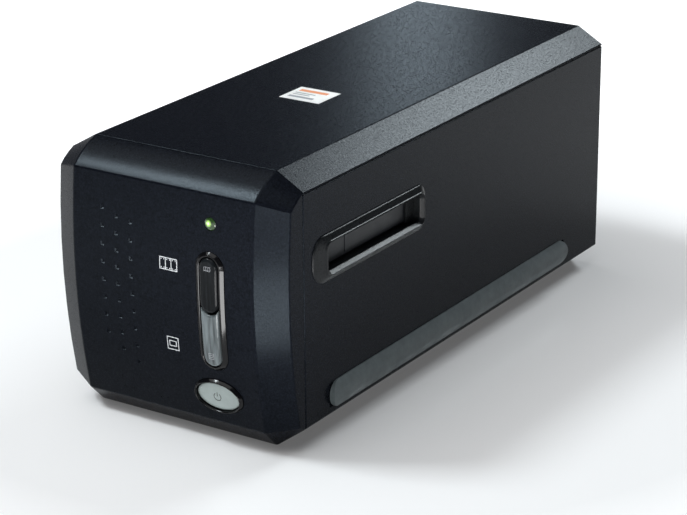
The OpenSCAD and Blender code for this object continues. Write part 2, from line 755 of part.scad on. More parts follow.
// A scan button: its cap follows the bow, its flange sits behind the bezel and its stem reaches the switch.
module scan_button(mid_z) {
    flange_y = bow(mid_z - 5, bow_r - wall) + slide_gap;
    intersection() {
        along_y(front_y - button_proud - 1, flange_y + flange_t) children();
        bow_slab(-button_proud, wall + 3);
    }
    translate([control_x, 0, mid_z]) {
        block([-button_w / 2 - 1.2, flange_y, -5], [button_w / 2 + 1.2, flange_y + flange_t, 5]);
        rod_y(stem_r, flange_y + flange_t - eps, switch_face - button_travel - 0.2);
    }
}
upper_mid = (button_split_z + button_high) / 2;
lower_mid = (button_low + button_split_z) / 2;
module upper_scan_button() color([0.12, 0.12, 0.13]) scan_button(upper_mid) upper_outline(0);
module lower_scan_button() color([0.42, 0.43, 0.45]) scan_button(lower_mid) lower_outline();

// The face leans back at the power button: everything on it is built along this lean.
power_lean = asin((bow_z - power_z) / bow_r);
power_face_y = bow(power_z, bow_r);
module leaning() translate([control_x, power_face_y, power_z]) rotate([power_lean, 0, 0])
    rotate([90, 0, 0]) children();

module oval(w, h) polygon([for (a = [0:7.5:359]) [w / 2 * cos(a), h / 2 * sin(a)]]);

module power_ring() color([0.06, 0.06, 0.065]) difference() {
    intersection() {
        bow_slab(-trim_h, trim_depth - eps);
        along_y(front_y - 5, front_y + 8) power_oval(ring_t);
    }
    along_y(front_y - 5, front_y + 9) power_oval(slide_gap);
}

dome_h = 1.2;
power_proud = 1.3;
power_flange_y = bow(power_z - 4, bow_r - wall) + slide_gap;
module power_button() color([0.75, 0.76, 0.78]) {
    intersection() {
        along_y(front_y - 5, power_flange_y + flange_t) power_oval(0);
        bow_slab(-power_proud, wall + 1);
    }
    leaning() hull() for (a = [0:20:80]) let (c = 0.7 + 0.3 * cos(a))
        translate([0, 0, power_proud - 0.1 + dome_h * sin(a)])
            linear_extrude(2 * eps) oval(c * power_w, c * power_h * 0.98);
    translate([control_x, 0, power_z]) {
        block([-power_w / 2 - 1, power_flange_y, -4], [power_w / 2 + 1, power_flange_y + flange_t, 4]);
        rod_y(stem_r, power_flange_y + flange_t - eps, switch_face - power_travel - 0.2);
    }
}

module status_lens() color([0.3, 0.8, 0.25, 0.8]) translate([control_x, 0, light_z]) {
    face_y = bow(light_z, bow_r);
    intersection() {
        translate([0, face_y + 4.6, 0]) sphere(5.2);
        rod_y(light_r, face_y - 1, face_y + 3);
    }
    rod_y(light_r, face_y + 0.4, board_y - 1.2);
}

switch_z = [power_z, lower_mid, upper_mid];
switch_half = 3;
switch_pin_r = 1.7;
switch_pin_l = 1;
control_board_half = 17;
board_below = 8;
board_above = 5;
module button_board() color(board_green) difference() {
    block([control_x - control_board_half, board_y, power_z - board_below],
        [control_x + control_board_half, board_y + board_t, light_z + board_above]);
    for (p = board_posts) translate([p[0], 0, p[1]]) rod_y(board_pilot_r, board_y - 1, board_y + board_t + 1);
}

module tact_switches() for (z = switch_z) translate([control_x, 0, z]) {
    color([0.15, 0.15, 0.15])
        block([-switch_half, switch_face + switch_pin_l, -switch_half], [switch_half, board_y, switch_half]);
    color(steel) rod_y(switch_pin_r, switch_face, switch_face + switch_pin_l + eps);
}

// ---------- base chassis ----------

saddle_l = 8;
saddle_half = 6;
chassis_gap = 0.7;
carriage_gap = 1.3;
gear_bay = 56.05;
front_saddle_y = seam_y + 9.2;
idler_y = seam_y + 22.7;
gear_y = rear_y - gear_bay;
rear_saddle_y = gear_y - 22;
home_y = slot_y + scan_travel / 2;
carriage_front = home_y - 12;
carriage_back = rear_saddle_y - saddle_l / 2 - carriage_gap;
chassis_half = min(post_x - post_r, floor_room(chassis_z)) - chassis_gap;
chassis_front = idler_y - 10;
chassis_back = rear_y - 9;
ear_x = chassis_half - stand_r - 0.5;
stand_x = chassis_half - stand_r - 2;
stand_y = [slot_y - 17.65, gear_y - 60.95, chassis_back - 16];
carriage_half = ear_x - stand_r - 2;
rod_x = carriage_half - rod_inset;
prong_in = rod_x - saddle_half - 2;
rib_t = 1.5;
rib_h = 4;
main_board_y0 = gear_y - 18;
main_board_y1 = rear_y - 6;
main_post_x = chassis_half - stand_r - 2.5;
main_posts = [for (x = [-main_post_x, main_post_x], y = [main_board_y0 + 5, main_board_y1 - 6]) [x, y]];
gear_gap = 0.05;
centre_distance = gear_m * (pinion_teeth + gear_teeth) / 2 + gear_gap;
bracket_z = deck_z + 18.5;
bracket_t = 1.5;
leg_r = 3;
leg_y = 14;
leg_x = chassis_half - leg_r - 1;
// The leg beside the motor moves back round it where the casing is narrow.
leg_back = sqrt(max(0, pow(motor_r + leg_r + 0.55, 2) - pow(leg_x - centre_distance, 2)));
bracket_legs = [[-15, gear_y - leg_y], [-15, gear_y + leg_y], [leg_x, gear_y + leg_back]];
belt_z = deck_z + 4;
boss_r = 4;
boss_top = belt_z - 1.3;
pilot_l = 12;
slider_half = 8;
slider_l = 18;
slider_rail_t = 2;
slider_rail_h = 3;
anchor_half = 3;
anchor_t = 2.5;
spring_anchor_y = idler_y + 25;
clip_ear = 4.7;
clip_screw_r = 0.8;

module at_saddles() for (y = [front_saddle_y, rear_saddle_y]) in_pairs(rod_x) translate([0, y, 0]) children();

// The two blocks that carry the rods' ends, at one end of the rods.
module saddle(y) in_pairs(rod_x) difference() {
    block([-saddle_half, y - saddle_l / 2, deck_z - eps], [saddle_half, y + saddle_l / 2, rod_z]);
    translate([0, 0, rod_z]) rod_y(rod_r + 2 * press, y - saddle_l, y + saddle_l);
}

module at_towers() for (x = [-ear_x, ear_x], s = [-1, 1]) translate([x, slot_y + s * ear_y, 0]) children();
module at_stands() for (x = [-stand_x, stand_x], y = stand_y) translate([x, y, 0]) children();
module at_main_posts() for (p = main_posts) translate([p[0], p[1], 0]) children();
module at_bracket_legs() for (p = bracket_legs) translate([p[0], p[1], 0]) children();

module base_chassis() color([0.2, 0.21, 0.22]) difference() {
    union() {
        block([-chassis_half, chassis_front, chassis_z], [chassis_half, chassis_back, deck_z]);
        for (s = [-1, 1]) translate([s * (prong_in + chassis_half) / 2, 0, 0])
            block([-(chassis_half - prong_in) / 2, front_saddle_y - saddle_l / 2 - 1, chassis_z],
                [(chassis_half - prong_in) / 2, chassis_front + 1, deck_z]);
        saddle(front_saddle_y);
        saddle(rear_saddle_y);
        // towers of the film track, posts of the main board and legs of the motor bracket
        at_towers() translate([0, 0, deck_z - eps]) cylinder(r = stand_r, h = track_foot - deck_z + eps);
        at_main_posts() translate([0, 0, deck_z - eps]) cylinder(r = stand_r, h = board_z - deck_z + eps);
        at_bracket_legs() translate([0, 0, deck_z - eps]) cylinder(r = leg_r, h = bracket_z - deck_z + eps);
        translate([0, gear_y, deck_z - eps]) cylinder(r = boss_r, h = boss_top - deck_z);
        // rails of the idler slider, and the anchor of its spring
        in_pairs(slider_half + slider_rail_t / 2 + 0.2)
            block([-slider_rail_t / 2, idler_y - slider_half, deck_z - eps],
                [slider_rail_t / 2, idler_y + slider_l - 6, deck_z + slider_rail_h]);
        block([-anchor_half, spring_anchor_y, deck_z - eps],
            [anchor_half, spring_anchor_y + anchor_t, belt_z + belt_w]);
        // long stiffening ribs
        in_pairs(chassis_half - rib_t / 2)
            block([-rib_t / 2, chassis_front, deck_z - eps], [rib_t / 2, chassis_back, deck_z + rib_h]);
    }
    at_stands() translate([0, 0, chassis_z - 1]) cylinder(r = screw_r + fit, h = 2 * chassis_t);
    at_towers() translate([0, 0, track_foot - pilot_l]) cylinder(r = pilot_r, h = 2 * pilot_l);
    at_main_posts() translate([0, 0, board_z - pilot_l]) cylinder(r = pilot_r, h = 2 * pilot_l);
    at_bracket_legs() translate([0, 0, bracket_z - pilot_l]) cylinder(r = pilot_r, h = 2 * pilot_l);
    at_saddles() in_pairs(clip_ear) translate([0, 0, rod_z - pilot_l])
        cylinder(r = clip_screw_r + fit, h = 2 * pilot_l);
    translate([0, gear_y, chassis_z - 1]) cylinder(r = shaft_r, h = 2 * boss_top);
}

module guide_rod() translate([0, 0, rod_z])
    rod_y(rod_r, front_saddle_y - saddle_l / 2, rear_saddle_y + saddle_l / 2);
module guide_rod_left() color(steel) translate([-rod_x, 0, 0]) guide_rod();
module guide_rod_right() color(steel) translate([rod_x, 0, 0]) guide_rod();

clip_t = 1;
clip_half = 3;
module rod_clips() color(steel) at_saddles() translate([0, 0, rod_z]) difference() {
    union() {
        block([-saddle_half, -clip_half, 0], [saddle_half, clip_half, clip_t]);
        intersection() {
            rod_y(rod_r + clip_t, -clip_half, clip_half);
            block([-saddle_half, -clip_half, 0], [saddle_half, clip_half, saddle_half]);
        }
    }
    rod_y(rod_r + 2 * press, -saddle_l, saddle_l);
    in_pairs(clip_ear) translate([0, 0, -1]) cylinder(r = clip_screw_r, h = 2 * clip_t + 2);
}

// ---------- scan carriage ----------

plate_z = rod_z + 8;
plate_t = 3;
plate_top = plate_z + plate_t;
bushing_l = 16;
bushing_y = [carriage_front, carriage_back - 2 - bushing_l];
bearing_half = rod_r + bushing_t + 1.25;
fork_y = carriage_front + 30;
fork_l = 20;
fork_gap = 0.1;
spine_y = slot_y + channel_w / 2 + track_wall + scan_travel + 3.65;
spine_t = 5;
arm_half = carriage_half - 4;
arm_z = channel_z + track_h + 3.4;
arm_t = 3;
web_t = 3;
web_h = 44;
arm_rib_t = 2.5;
arm_rib_h = 6;
sensor_y = carriage_back - 5;
web_back = sensor_y - 15;
mirror_l = 22;
mirror_t = 2;
mirror_ledge = 2;
cheek_t = 2.5;
cheek_half = 11;
clamp_y = home_y + 20;
clamp_l = 14;
belt_x = pulley_r + 0.05;
lens_back = spine_y + 13;
lens_front = spine_y - 9;
seat_ring = 3;
slit_x = window_x + 1;
slit_y = 5;
sensor_half = mirror_w / 2 + 6;
sensor_board_h = 24;
bracket_w = 4;

module scan_carriage() color([0.24, 0.25, 0.27]) difference() {
    union() {
        block([-carriage_half, carriage_front, plate_z], [carriage_half, carriage_back, plate_top]);
        // bearing blocks over the left rod, and a fork over the right one
        for (y = bushing_y) translate([-rod_x, y, 0])
            block([-bearing_half, 0, rod_z - bearing_half], [bearing_half, bushing_l, plate_z + eps]);
        translate([rod_x, fork_y, 0])
            block([-saddle_half, 0, rod_z - 4], [saddle_half, fork_l, plate_z + eps]);
        // spine with the lens seat, stiffened by two webs
        block([-arm_half, spine_y, plate_z], [arm_half, spine_y + spine_t, arm_z + arm_t]);
        in_pairs(arm_half - web_t / 2) along_x(-web_t / 2, web_t / 2)
            polygon([[spine_y + 1, plate_z + 1], [web_back, plate_z + 1], [spine_y + 1, plate_z + 1 + web_h]]);
        translate([0, 0, optic_z]) rod_y(lens_r + seat_ring, spine_y - 2, spine_y + spine_t);
        // arm over the film track
        block([-arm_half, home_y - 14, arm_z], [arm_half, spine_y + 1, arm_z + arm_t]);
        in_pairs(arm_half - arm_rib_t / 2) block([-arm_rib_t / 2, home_y + 14, arm_z],
            [arm_rib_t / 2, spine_y + 1, arm_z + arm_t + arm_rib_h]);
        // cheeks that hold the mirror at 45 degrees
        in_pairs((mirror_w + cheek_t + slide_gap) / 2) along_x(-cheek_t / 2, cheek_t / 2)
            translate([home_y, 0]) polygon([[-cheek_half, plate_z + 1], [cheek_half, plate_z + 1],
                [cheek_half, optic_z - 4], [-4, optic_z + 10], [-cheek_half, optic_z + 10]]);
        in_pairs((mirror_w - mirror_ledge) / 2) translate([0, home_y, optic_z]) rotate([45, 0, 0])
            block([-mirror_ledge, -mirror_t / 2 - mirror_ledge, -mirror_l / 2],
                [mirror_ledge, -mirror_t / 2, mirror_l / 2]);
        // bracket of the sensor board
        in_pairs(sensor_half - bracket_w / 2 - 1) block([-bracket_w / 2, sensor_y + board_t, plate_z + 1],
            [bracket_w / 2, carriage_back - 0.5, plate_top + sensor_board_h - 4]);
    }
    for (y = bushing_y) translate([-rod_x, y, rod_z]) rod_y(rod_r + bushing_t + press, -1, bushing_l + 1);
    translate([rod_x, fork_y, rod_z])
        block([-rod_r - fork_gap, -1, -rod_z], [rod_r + fork_gap, fork_l + 1, rod_r + slide_gap]);
    translate([0, 0, optic_z]) rod_y(lens_r + press, spine_y - seat_ring, spine_y + 2 * spine_t);
    block([-slit_x, home_y - slit_y, arm_z - 1], [slit_x, home_y + slit_y, arm_z + arm_t + 1]);
}

module rod_bushings() color([0.7, 0.5, 0.25]) for (y = bushing_y) translate([-rod_x, 0, rod_z]) difference() {
    rod_y(rod_r + bushing_t, y, y + bushing_l);
    rod_y(rod_r + run_fit, y - 1, y + bushing_l + 1);
}

module scan_mirror() color([0.85, 0.88, 0.9]) translate([0, home_y, optic_z]) rotate([45, 0, 0])
    cube([mirror_w, mirror_t, mirror_l], center = true);

barrel_t = 1.6;
barrel_lip = 1.4;
glass_r = lens_r - barrel_t - 2 * press;
glass_bow = 18;
glass_l = 5;
module lens_barrel() color([0.12, 0.12, 0.13]) translate([0, 0, optic_z]) difference() {
    union() {
        rod_y(lens_r, lens_front, lens_back);
        rod_y(lens_r + barrel_lip, lens_front + 1, lens_front + 4);
    }
    rod_y(lens_r - barrel_t, lens_front - 1, lens_back + 1);
}

module lens_glass() color([0.7, 0.8, 0.85, 0.5]) translate([0, 0, optic_z]) {
    intersection() {
        rod_y(glass_r, lens_front + 1, lens_front + 1 + glass_l);
        translate([0, lens_front + 1.2 + glass_bow, 0]) sphere(glass_bow);
    }
    intersection() {
        rod_y(glass_r, lens_back - 1 - glass_l, lens_back - 1);
        translate([0, lens_back - 1.2 - glass_bow, 0]) sphere(glass_bow);
    }
}

lens_ring_w = 1.8;
lens_ring_l = 2.5;
module lens_ring() color(steel) translate([0, spine_y + spine_t, optic_z]) difference() {
    rod_y(lens_r + lens_ring_w, 0, lens_ring_l);
    rod_y(lens_r + press, -1, lens_ring_l + 1);
}

sensor_t = 3;
sensor_h = 10;
module sensor_board() color(board_green)
    block([-sensor_half, sensor_y, plate_top], [sensor_half, sensor_y + board_t, plate_top + sensor_board_h]);
module line_sensor() color([0.15, 0.15, 0.17]) translate([0, sensor_y, optic_z]) difference() {
    block([-mirror_w / 2, -sensor_t, -sensor_h / 2], [mirror_w / 2, 0, sensor_h / 2]);
    block([4 - mirror_w / 2, -sensor_t - 1, -1.5], [mirror_w / 2 - 4, 0.5 - sensor_t, 1.5]);
}

lamp_z = arm_z + arm_t;
lamp_margin = 6;
lamp_x = slit_x + lamp_margin;
lamp_y = slit_y + lamp_margin + 1;
lamp_h = 10;
lamp_wall = 2;
led = 3;
led_pitch = 8;
module lamp_housing() color([0.9, 0.9, 0.88]) difference() {
    block([-lamp_x, home_y - lamp_y, lamp_z], [lamp_x, home_y + lamp_y, lamp_z + lamp_h]);
    block([lamp_wall - lamp_x, home_y - lamp_y + lamp_wall, lamp_z - 1],
        [lamp_x - lamp_wall, home_y + lamp_y - lamp_wall, lamp_z + lamp_h - lamp_wall]);
}
module lamp_board() translate([0, home_y, lamp_z + lamp_h - lamp_wall]) {
    color(board_green) block([1 - slit_x - 4, 1 - slit_y - 4, -board_t], [slit_x + 3, slit_y + 3, 0]);
    color([1, 0.95, 0.7]) for (k = [-2.5:2.5]) translate([k * led_pitch, 0, -board_t - 0.5])
        cube([led, led, 1 + 2 * eps], center = true);
}
module light_diffuser() color([0.95, 0.95, 0.95, 0.8]) translate([0, home_y, 0]) {
    block([fit - slit_x, fit - slit_y, arm_z + 0.5], [slit_x - fit, slit_y - fit, lamp_z + eps]);
    block([-slit_x - 2, -slit_y - 2, lamp_z], [slit_x + 2, slit_y + 2, lamp_z + 1]);
}

module belt_clamp() color([0.24, 0.25, 0.27]) difference() {
    block([pulley_r / 2, clamp_y, belt_z - 1.2], [belt_x + belt_t + 4, clamp_y + clamp_l, plate_z]);
    block([belt_x - slide_gap, clamp_y - 1, belt_z - 3],
        [belt_x + belt_t + slide_gap, clamp_y + clamp_l + 1, belt_z + belt_w + slide_gap]);
}

// ---------- drive ----------

function polar(r, a) = [r * cos(a), r * sin(a)];
function involute_angle(base, r) = let (t = sqrt(max(0, pow(r / base, 2) - 1))) t * 180 / PI - atan(t);

// One tooth of a spur gear, from root to tip and back, centred on angle a.
function tooth(m, n, a, backlash) = let (
    pitch = m * n / 2,
    base = pitch * cos(20),
    root = pitch - 1.25 * m,
    tip = pitch + m,
    half = 90 / n - backlash / pitch * 90 / PI + involute_angle(base, pitch),
    low = max(base, root),
    flank = [for (i = [0:4]) let (r = low + (tip - low) * i / 4) [r, half - involute_angle(base, r)]])
    concat([polar(root, a - half - 0.15)], [for (f = flank) polar(f[0], a - f[1])],
        [for (i = [4:-1:0]) polar(flank[i][0], a + flank[i][1])], [polar(root, a + half + 0.15)]);
module spur(m, n, backlash) polygon([for (k = [0:n - 1]) each tooth(m, n, k * 360 / n, backlash)]);

gear_z = belt_z + belt_w + 2.2;
backlash = 0.14;
flange_lip = 2;
pulley_flange_t = 0.8;
pulley_over = 0.3;

// The hub and the lower flange of a belt pulley, on the axis of Z.
module pulley_foot() {
    translate([0, 0, belt_z - pulley_over]) cylinder(r = pulley_r - 0.1, h = belt_w + 1);
    translate([0, 0, belt_z - 1]) cylinder(r = pulley_r + flange_lip, h = pulley_flange_t);
}

hole_ring = 11;
hole_r = 2.2;
module drive_gear() color([0.85, 0.83, 0.78]) translate([0, gear_y, 0]) difference() {
    union() {
        pulley_foot();
        translate([0, 0, belt_z + belt_w + pulley_over])
            cylinder(r = pulley_r + flange_lip, h = gear_z - belt_z - belt_w - pulley_over + eps);
        translate([0, 0, gear_z]) linear_extrude(gear_w) spur(gear_m, gear_teeth, backlash);
        translate([0, 0, gear_z]) cylinder(r = boss_r, h = bracket_z - gear_z - slide_gap);
    }
    translate([0, 0, belt_z - 2]) cylinder(r = shaft_r + run_fit, h = bracket_z);
    // lightening holes in the gear's web
    for (a = [30:60:359]) rotate([0, 0, a]) translate([hole_ring, 0, gear_z - 3])
        cylinder(r = hole_r, h = gear_w + 6);
}

module gear_shaft() color(steel) translate([0, gear_y, chassis_z])
    cylinder(r = shaft_r, h = bracket_z + bracket_t - chassis_z);

pinion_shaft_r = 1;
pinion_shaft_l = 8;
module motor_pinion() color([0.8, 0.7, 0.4]) translate([centre_distance, gear_y, 0]) {
    translate([0, 0, gear_z - 0.5]) linear_extrude(gear_w + 1) spur(gear_m, pinion_teeth, backlash);
    translate([0, 0, gear_z - 1]) cylinder(r = pinion_shaft_r, h = motor_z + pinion_shaft_l - gear_z);
}

motor_z = bracket_z + bracket_t;
motor_ear_r = 3.5;
motor_screw_r = 1.2;
module at_motor_ears() for (s = [-1, 1]) translate([0, s * (motor_r + motor_ear_r), 0]) children();

motor_hole_r = 4;
leg_pad_r = 4.5;
module motor_bracket() color(steel) difference() {
    union() {
        hull() at_bracket_legs() translate([0, 0, bracket_z]) cylinder(r = leg_pad_r, h = bracket_t, $fn = 32);
        translate([centre_distance, gear_y, bracket_z]) for (s = [-1, 1]) hull() {
            translate([0, s * (motor_r + motor_ear_r), 0]) cylinder(r = motor_ear_r, h = bracket_t, $fn = 32);
            cylinder(r = 2 * motor_hole_r, h = bracket_t, $fn = 32);
        }
    }
    translate([0, gear_y, bracket_z - 1]) cylinder(r = shaft_r + press, h = bracket_t + 2);
    at_bracket_legs() translate([0, 0, bracket_z - 1]) cylinder(r = screw_r + fit, h = bracket_t + 2);
    translate([centre_distance, gear_y, bracket_z - 1]) {
        cylinder(r = motor_hole_r, h = bracket_t + 2);
        at_motor_ears() cylinder(r = motor_screw_r, h = bracket_t + 2);
    }
}

motor_ear_t = 1;
motor_boss_h = 1.5;
module stepper_motor() color([0.6, 0.61, 0.63]) translate([centre_distance, gear_y, motor_z]) difference() {
    union() {
        cylinder(r = motor_r, h = motor_h);
        at_motor_ears() cylinder(r = motor_ear_r, h = motor_ear_t);
        block([-motor_ear_r, -motor_r - motor_ear_r, 0], [motor_ear_r, motor_r + motor_ear_r, motor_ear_t]);
        translate([0, 0, motor_h - eps]) cylinder(r = boss_r, h = motor_boss_h);
    }
    translate([0, 0, -1]) cylinder(r = pinion_shaft_r + run_fit, h = pinion_shaft_l + 4);
    at_motor_ears() translate([0, 0, -1]) cylinder(r = motor_screw_r, h = motor_ear_t + 2);
}

module idler_pulley() color([0.85, 0.83, 0.78]) translate([0, idler_y, 0]) difference() {
    union() {
        pulley_foot();
        translate([0, 0, belt_z + belt_w + pulley_over])
            cylinder(r = pulley_r + flange_lip, h = pulley_flange_t);
    }
    translate([0, 0, belt_z - 2]) cylinder(r = shaft_r + run_fit, h = 2 * belt_z);
}

slider_z = deck_z + 0.05;
slider_t = 1.8;
hook_y = idler_y + slider_half + 1;
hook_t = 1.5;
spring_pin_r = 1.2;
module idler_slider() color(steel) {
    block([-slider_half, hook_y + 2 - slider_l, slider_z], [slider_half, hook_y + 2, slider_z + slider_t]);
    translate([0, idler_y, slider_z]) cylinder(r = shaft_r, h = belt_z + belt_w + 3 - slider_z);
    block([-anchor_half, hook_y, slider_z], [anchor_half, hook_y + hook_t, belt_z + belt_w]);
    translate([0, 0, belt_z + belt_w / 2]) rod_y(spring_pin_r, hook_y + 1, hook_y + 7);
}

spring_r = 1.8;
spring_turns = 9;
tension_wire = 0.25;
spring_y0 = hook_y + hook_t + tension_wire;
spring_pitch = (spring_anchor_y - spring_y0 - 2 * tension_wire) / spring_turns;
module tension_spring() color(steel) translate([0, spring_y0, belt_z + belt_w / 2])
    wire(coil_y(spring_r, spring_pitch, spring_turns, 10), tension_wire);

module belt_loop(r) {
    for (y = [idler_y, gear_y]) translate([0, y]) circle(r);
    translate([-r, idler_y]) square([2 * r, gear_y - idler_y]);
}
module timing_belt() color([0.08, 0.08, 0.08]) translate([0, 0, belt_z]) linear_extrude(belt_w) difference() {
    belt_loop(belt_x + belt_t);
    belt_loop(belt_x);
}

// A light barrier that the carriage's rear edge reaches at home.
home_sensor_w = 8;
home_sensor_half = 3;
home_sensor_h = 14;
home_flag_h = 5;
module home_sensor() color([0.1, 0.1, 0.1]) translate([saddle_half + 2 - rod_x, rear_saddle_y, deck_z]) {
    block([0, -home_sensor_half, 0], [home_sensor_w, home_sensor_half, home_sensor_h]);
    block([home_sensor_w / 4, -home_sensor_half, home_sensor_h - eps],
        [home_sensor_w * 0.75, home_sensor_half, home_sensor_h + home_flag_h]);
}

// ---------- electronics ----------

board_top = board_z + board_t;
board_half = chassis_half - 0.5;
module main_board() color(board_green) difference() {
    block([-board_half, main_board_y0, board_z], [board_half, main_board_y1, board_top]);
    at_main_posts() translate([0, 0, board_z - 1]) cylinder(r = screw_r + fit, h = board_t + 2);
}

// Chips on the main board: [middle in x, distance behind the board's front edge, width, depth, height].
chips = [[-2, 16, 20, 20, 1.6], [-25, 14, 14, 8, 1.2], [21, 14, 10, 10, 1.8]];
capacitor_r = 4;
capacitor_h = 11;
capacitors = [30, 42];
cable_x = -17;
cable_w = 22;
cable_t = 0.4;
plug_w = cable_w + 4;
plug_d = 5.5;
plug_h = 4;
module board_components() translate([0, main_board_y0, board_top]) {
    color([0.1, 0.1, 0.1]) for (c = chips)
        block([c[0] - c[2] / 2, c[1], 0], [c[0] + c[2] / 2, c[1] + c[3], c[4]]);
    color([0.2, 0.25, 0.4]) for (y = capacitors) translate([main_post_x - stand_r - capacitor_r, y, 0])
        cylinder(r = capacitor_r, h = capacitor_h);
    color([0.9, 0.88, 0.8])
        block([cable_x - plug_w / 2, 0.5, 0], [cable_x + plug_w / 2, 0.5 + plug_d, plug_h]);
}

socket_front = rear_y - rear_recess + slide_gap;
usb_w = 12;
usb_h = 10.8;
usb_l = 16;
usb_t = 1.6;
tongue_w = 5.6;
tongue_h = 3.2;
module usb_socket() color(steel) translate([-socket_x, socket_front, board_top]) difference() {
    block([-usb_w / 2, -usb_l, 0], [usb_w / 2, 0, usb_h]);
    translate([0, 0, usb_h / 2]) difference() {
        block([usb_t - usb_w / 2, -9, usb_t - usb_h / 2], [usb_w / 2 - usb_t, 1, usb_h / 2 - usb_t]);
        block([-tongue_w / 2, -10, -tongue_h / 2], [tongue_w / 2, -1, tongue_h / 2]);
    }
}

inlet_w = 9;
inlet_h = 11;
inlet_l = 14;
jack_r = 2.8;
jack_pin_r = 1;
module power_inlet() color([0.08, 0.08, 0.08]) translate([socket_x, socket_front, board_top]) difference() {
    block([-inlet_w / 2, -inlet_l, 0], [inlet_w / 2, 0, inlet_h]);
    translate([0, 0, inlet_h / 2 + 1]) difference() {
        rod_y(jack_r, -9.5, 1);
        rod_y(jack_pin_r, -10, -1);
    }
}

// The flat cable from the sensor board up to the main board, at the carriage's home position.
module flat_cable() color([0.88, 0.88, 0.85]) translate([cable_x, carriage_back + 0.5, 0]) {
    block([-cable_w / 2, 0, plate_top + 8], [cable_w / 2, cable_t, board_top + plug_h + cable_t]);
    block([-cable_w / 2, 0, board_top + plug_h],
        [cable_w / 2, main_board_y0 + plug_d - 0.5 - carriage_back - 0.5, board_top + plug_h + cable_t]);
}

pan_r = 2.4;
pan_h = 1.8;
thread_r = 1.3;
module small_screw(l) {
    cylinder(r = pan_r, h = pan_h);
    translate([0, 0, -l]) cylinder(r = thread_r, h = l + eps);
}

module inner_screws() color(steel) {
    at_stands() translate([0, 0, deck_z]) small_screw(stand_screw_l);
    at_towers() translate([0, 0, track_foot + ear_t]) small_screw(8);
    at_main_posts() translate([0, 0, board_top]) small_screw(8);
    at_bracket_legs() translate([0, 0, motor_z]) small_screw(7);
}

upper_cover();
lower_case();
front_bezel();
rear_panel();
slot_bezel_right();
slot_bezel_left();
bumper_right();
bumper_left();
rubber_feet();
cover_screws();
bezel_screws();
top_label();
button_surround();
upper_scan_button();
lower_scan_button();
power_ring();
power_button();
status_lens();
button_board();
tact_switches();
right_dust_door();
left_dust_door();
door_pins();
door_springs();
film_track();
holder_detent();
base_chassis();
guide_rod_left();
guide_rod_right();
rod_clips();
scan_carriage();
rod_bushings();
scan_mirror();
lens_barrel();
lens_glass();
lens_ring();
sensor_board();
line_sensor();
lamp_housing();
lamp_board();
light_diffuser();
belt_clamp();
stepper_motor();
motor_bracket();
motor_pinion();
drive_gear();
gear_shaft();
idler_pulley();
idler_slider();
tension_spring();
timing_belt();
home_sensor();
main_board();
board_components();
usb_socket();
power_inlet();
flat_cable();
inner_screws();
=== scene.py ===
"""Desktop film scanner: looks, rounded mouldings, prints, floor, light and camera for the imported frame.

Everything is in metres in the frame's own axes: +X right, +Y to the rear, +Z up.
"""
import json
import math
import bmesh
import bpy
from mathutils import Matrix, Vector
from mathutils.bvhtree import BVHTree


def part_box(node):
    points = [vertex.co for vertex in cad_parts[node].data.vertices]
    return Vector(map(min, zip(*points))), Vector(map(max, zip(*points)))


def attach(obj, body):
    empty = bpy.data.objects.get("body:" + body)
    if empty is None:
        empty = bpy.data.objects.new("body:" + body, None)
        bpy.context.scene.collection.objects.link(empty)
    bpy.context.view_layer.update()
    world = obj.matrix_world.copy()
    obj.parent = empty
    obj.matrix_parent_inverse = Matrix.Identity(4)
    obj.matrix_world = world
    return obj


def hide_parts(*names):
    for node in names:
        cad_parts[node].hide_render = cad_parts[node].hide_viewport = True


MM = 0.001
X, Y, Z = Vector((1, 0, 0)), Vector((0, 1, 0)), Vector((0, 0, 1))

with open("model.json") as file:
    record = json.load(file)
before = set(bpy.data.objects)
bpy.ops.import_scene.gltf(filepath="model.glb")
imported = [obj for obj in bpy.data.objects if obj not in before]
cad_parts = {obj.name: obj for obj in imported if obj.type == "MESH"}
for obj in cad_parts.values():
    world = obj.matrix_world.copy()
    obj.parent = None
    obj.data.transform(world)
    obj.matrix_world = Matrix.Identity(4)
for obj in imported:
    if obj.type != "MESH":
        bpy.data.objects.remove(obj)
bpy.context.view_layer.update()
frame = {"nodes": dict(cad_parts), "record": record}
scene = bpy.context.scene
record = frame["record"]
slot_of = {part["node"]: part["material_slot"] for part in record["subparts"]}
body_of = {node: body for body, nodes in record["behaviour"]["bodies"].items() for node in nodes}


# ---------- camera ----------

CAMERA_AZIMUTH = math.radians(33.07)
CAMERA_ELEVATION = math.radians(20.59)
CAMERA_ROLL = math.radians(-0.45)
CAMERA_PLACE = Vector((0.5542, -0.8517, 0.4172))
CAMERA_LENS = 125.8
SENSOR_WIDTH = 36
CLIP_NEAR, CLIP_FAR = 0.05, 60


def make_camera():
    data = bpy.data.cameras.new("camera")
    data.sensor_width = SENSOR_WIDTH
    data.lens = CAMERA_LENS
    data.clip_start = CLIP_NEAR
    data.clip_end = CLIP_FAR
    camera = bpy.data.objects.new("camera", data)
    scene.collection.objects.link(camera)
    a, e, r = CAMERA_AZIMUTH, CAMERA_ELEVATION, CAMERA_ROLL
    back = Vector((math.sin(a) * math.cos(e), -math.cos(a) * math.cos(e), math.sin(e)))
    level = Vector((math.cos(a), math.sin(a), 0))
    up = back.cross(level)
    right = level * math.cos(r) + up * math.sin(r)
    top = up * math.cos(r) - level * math.sin(r)
    turn = Matrix((right, top, back)).transposed().to_4x4()
    camera.matrix_world = Matrix.Translation(CAMERA_PLACE) @ turn
    scene.camera = camera


# ---------- materials ----------

# The range that most of a noise texture's values lie in.
NOISE_LOW, NOISE_HIGH = 0.3, 0.7


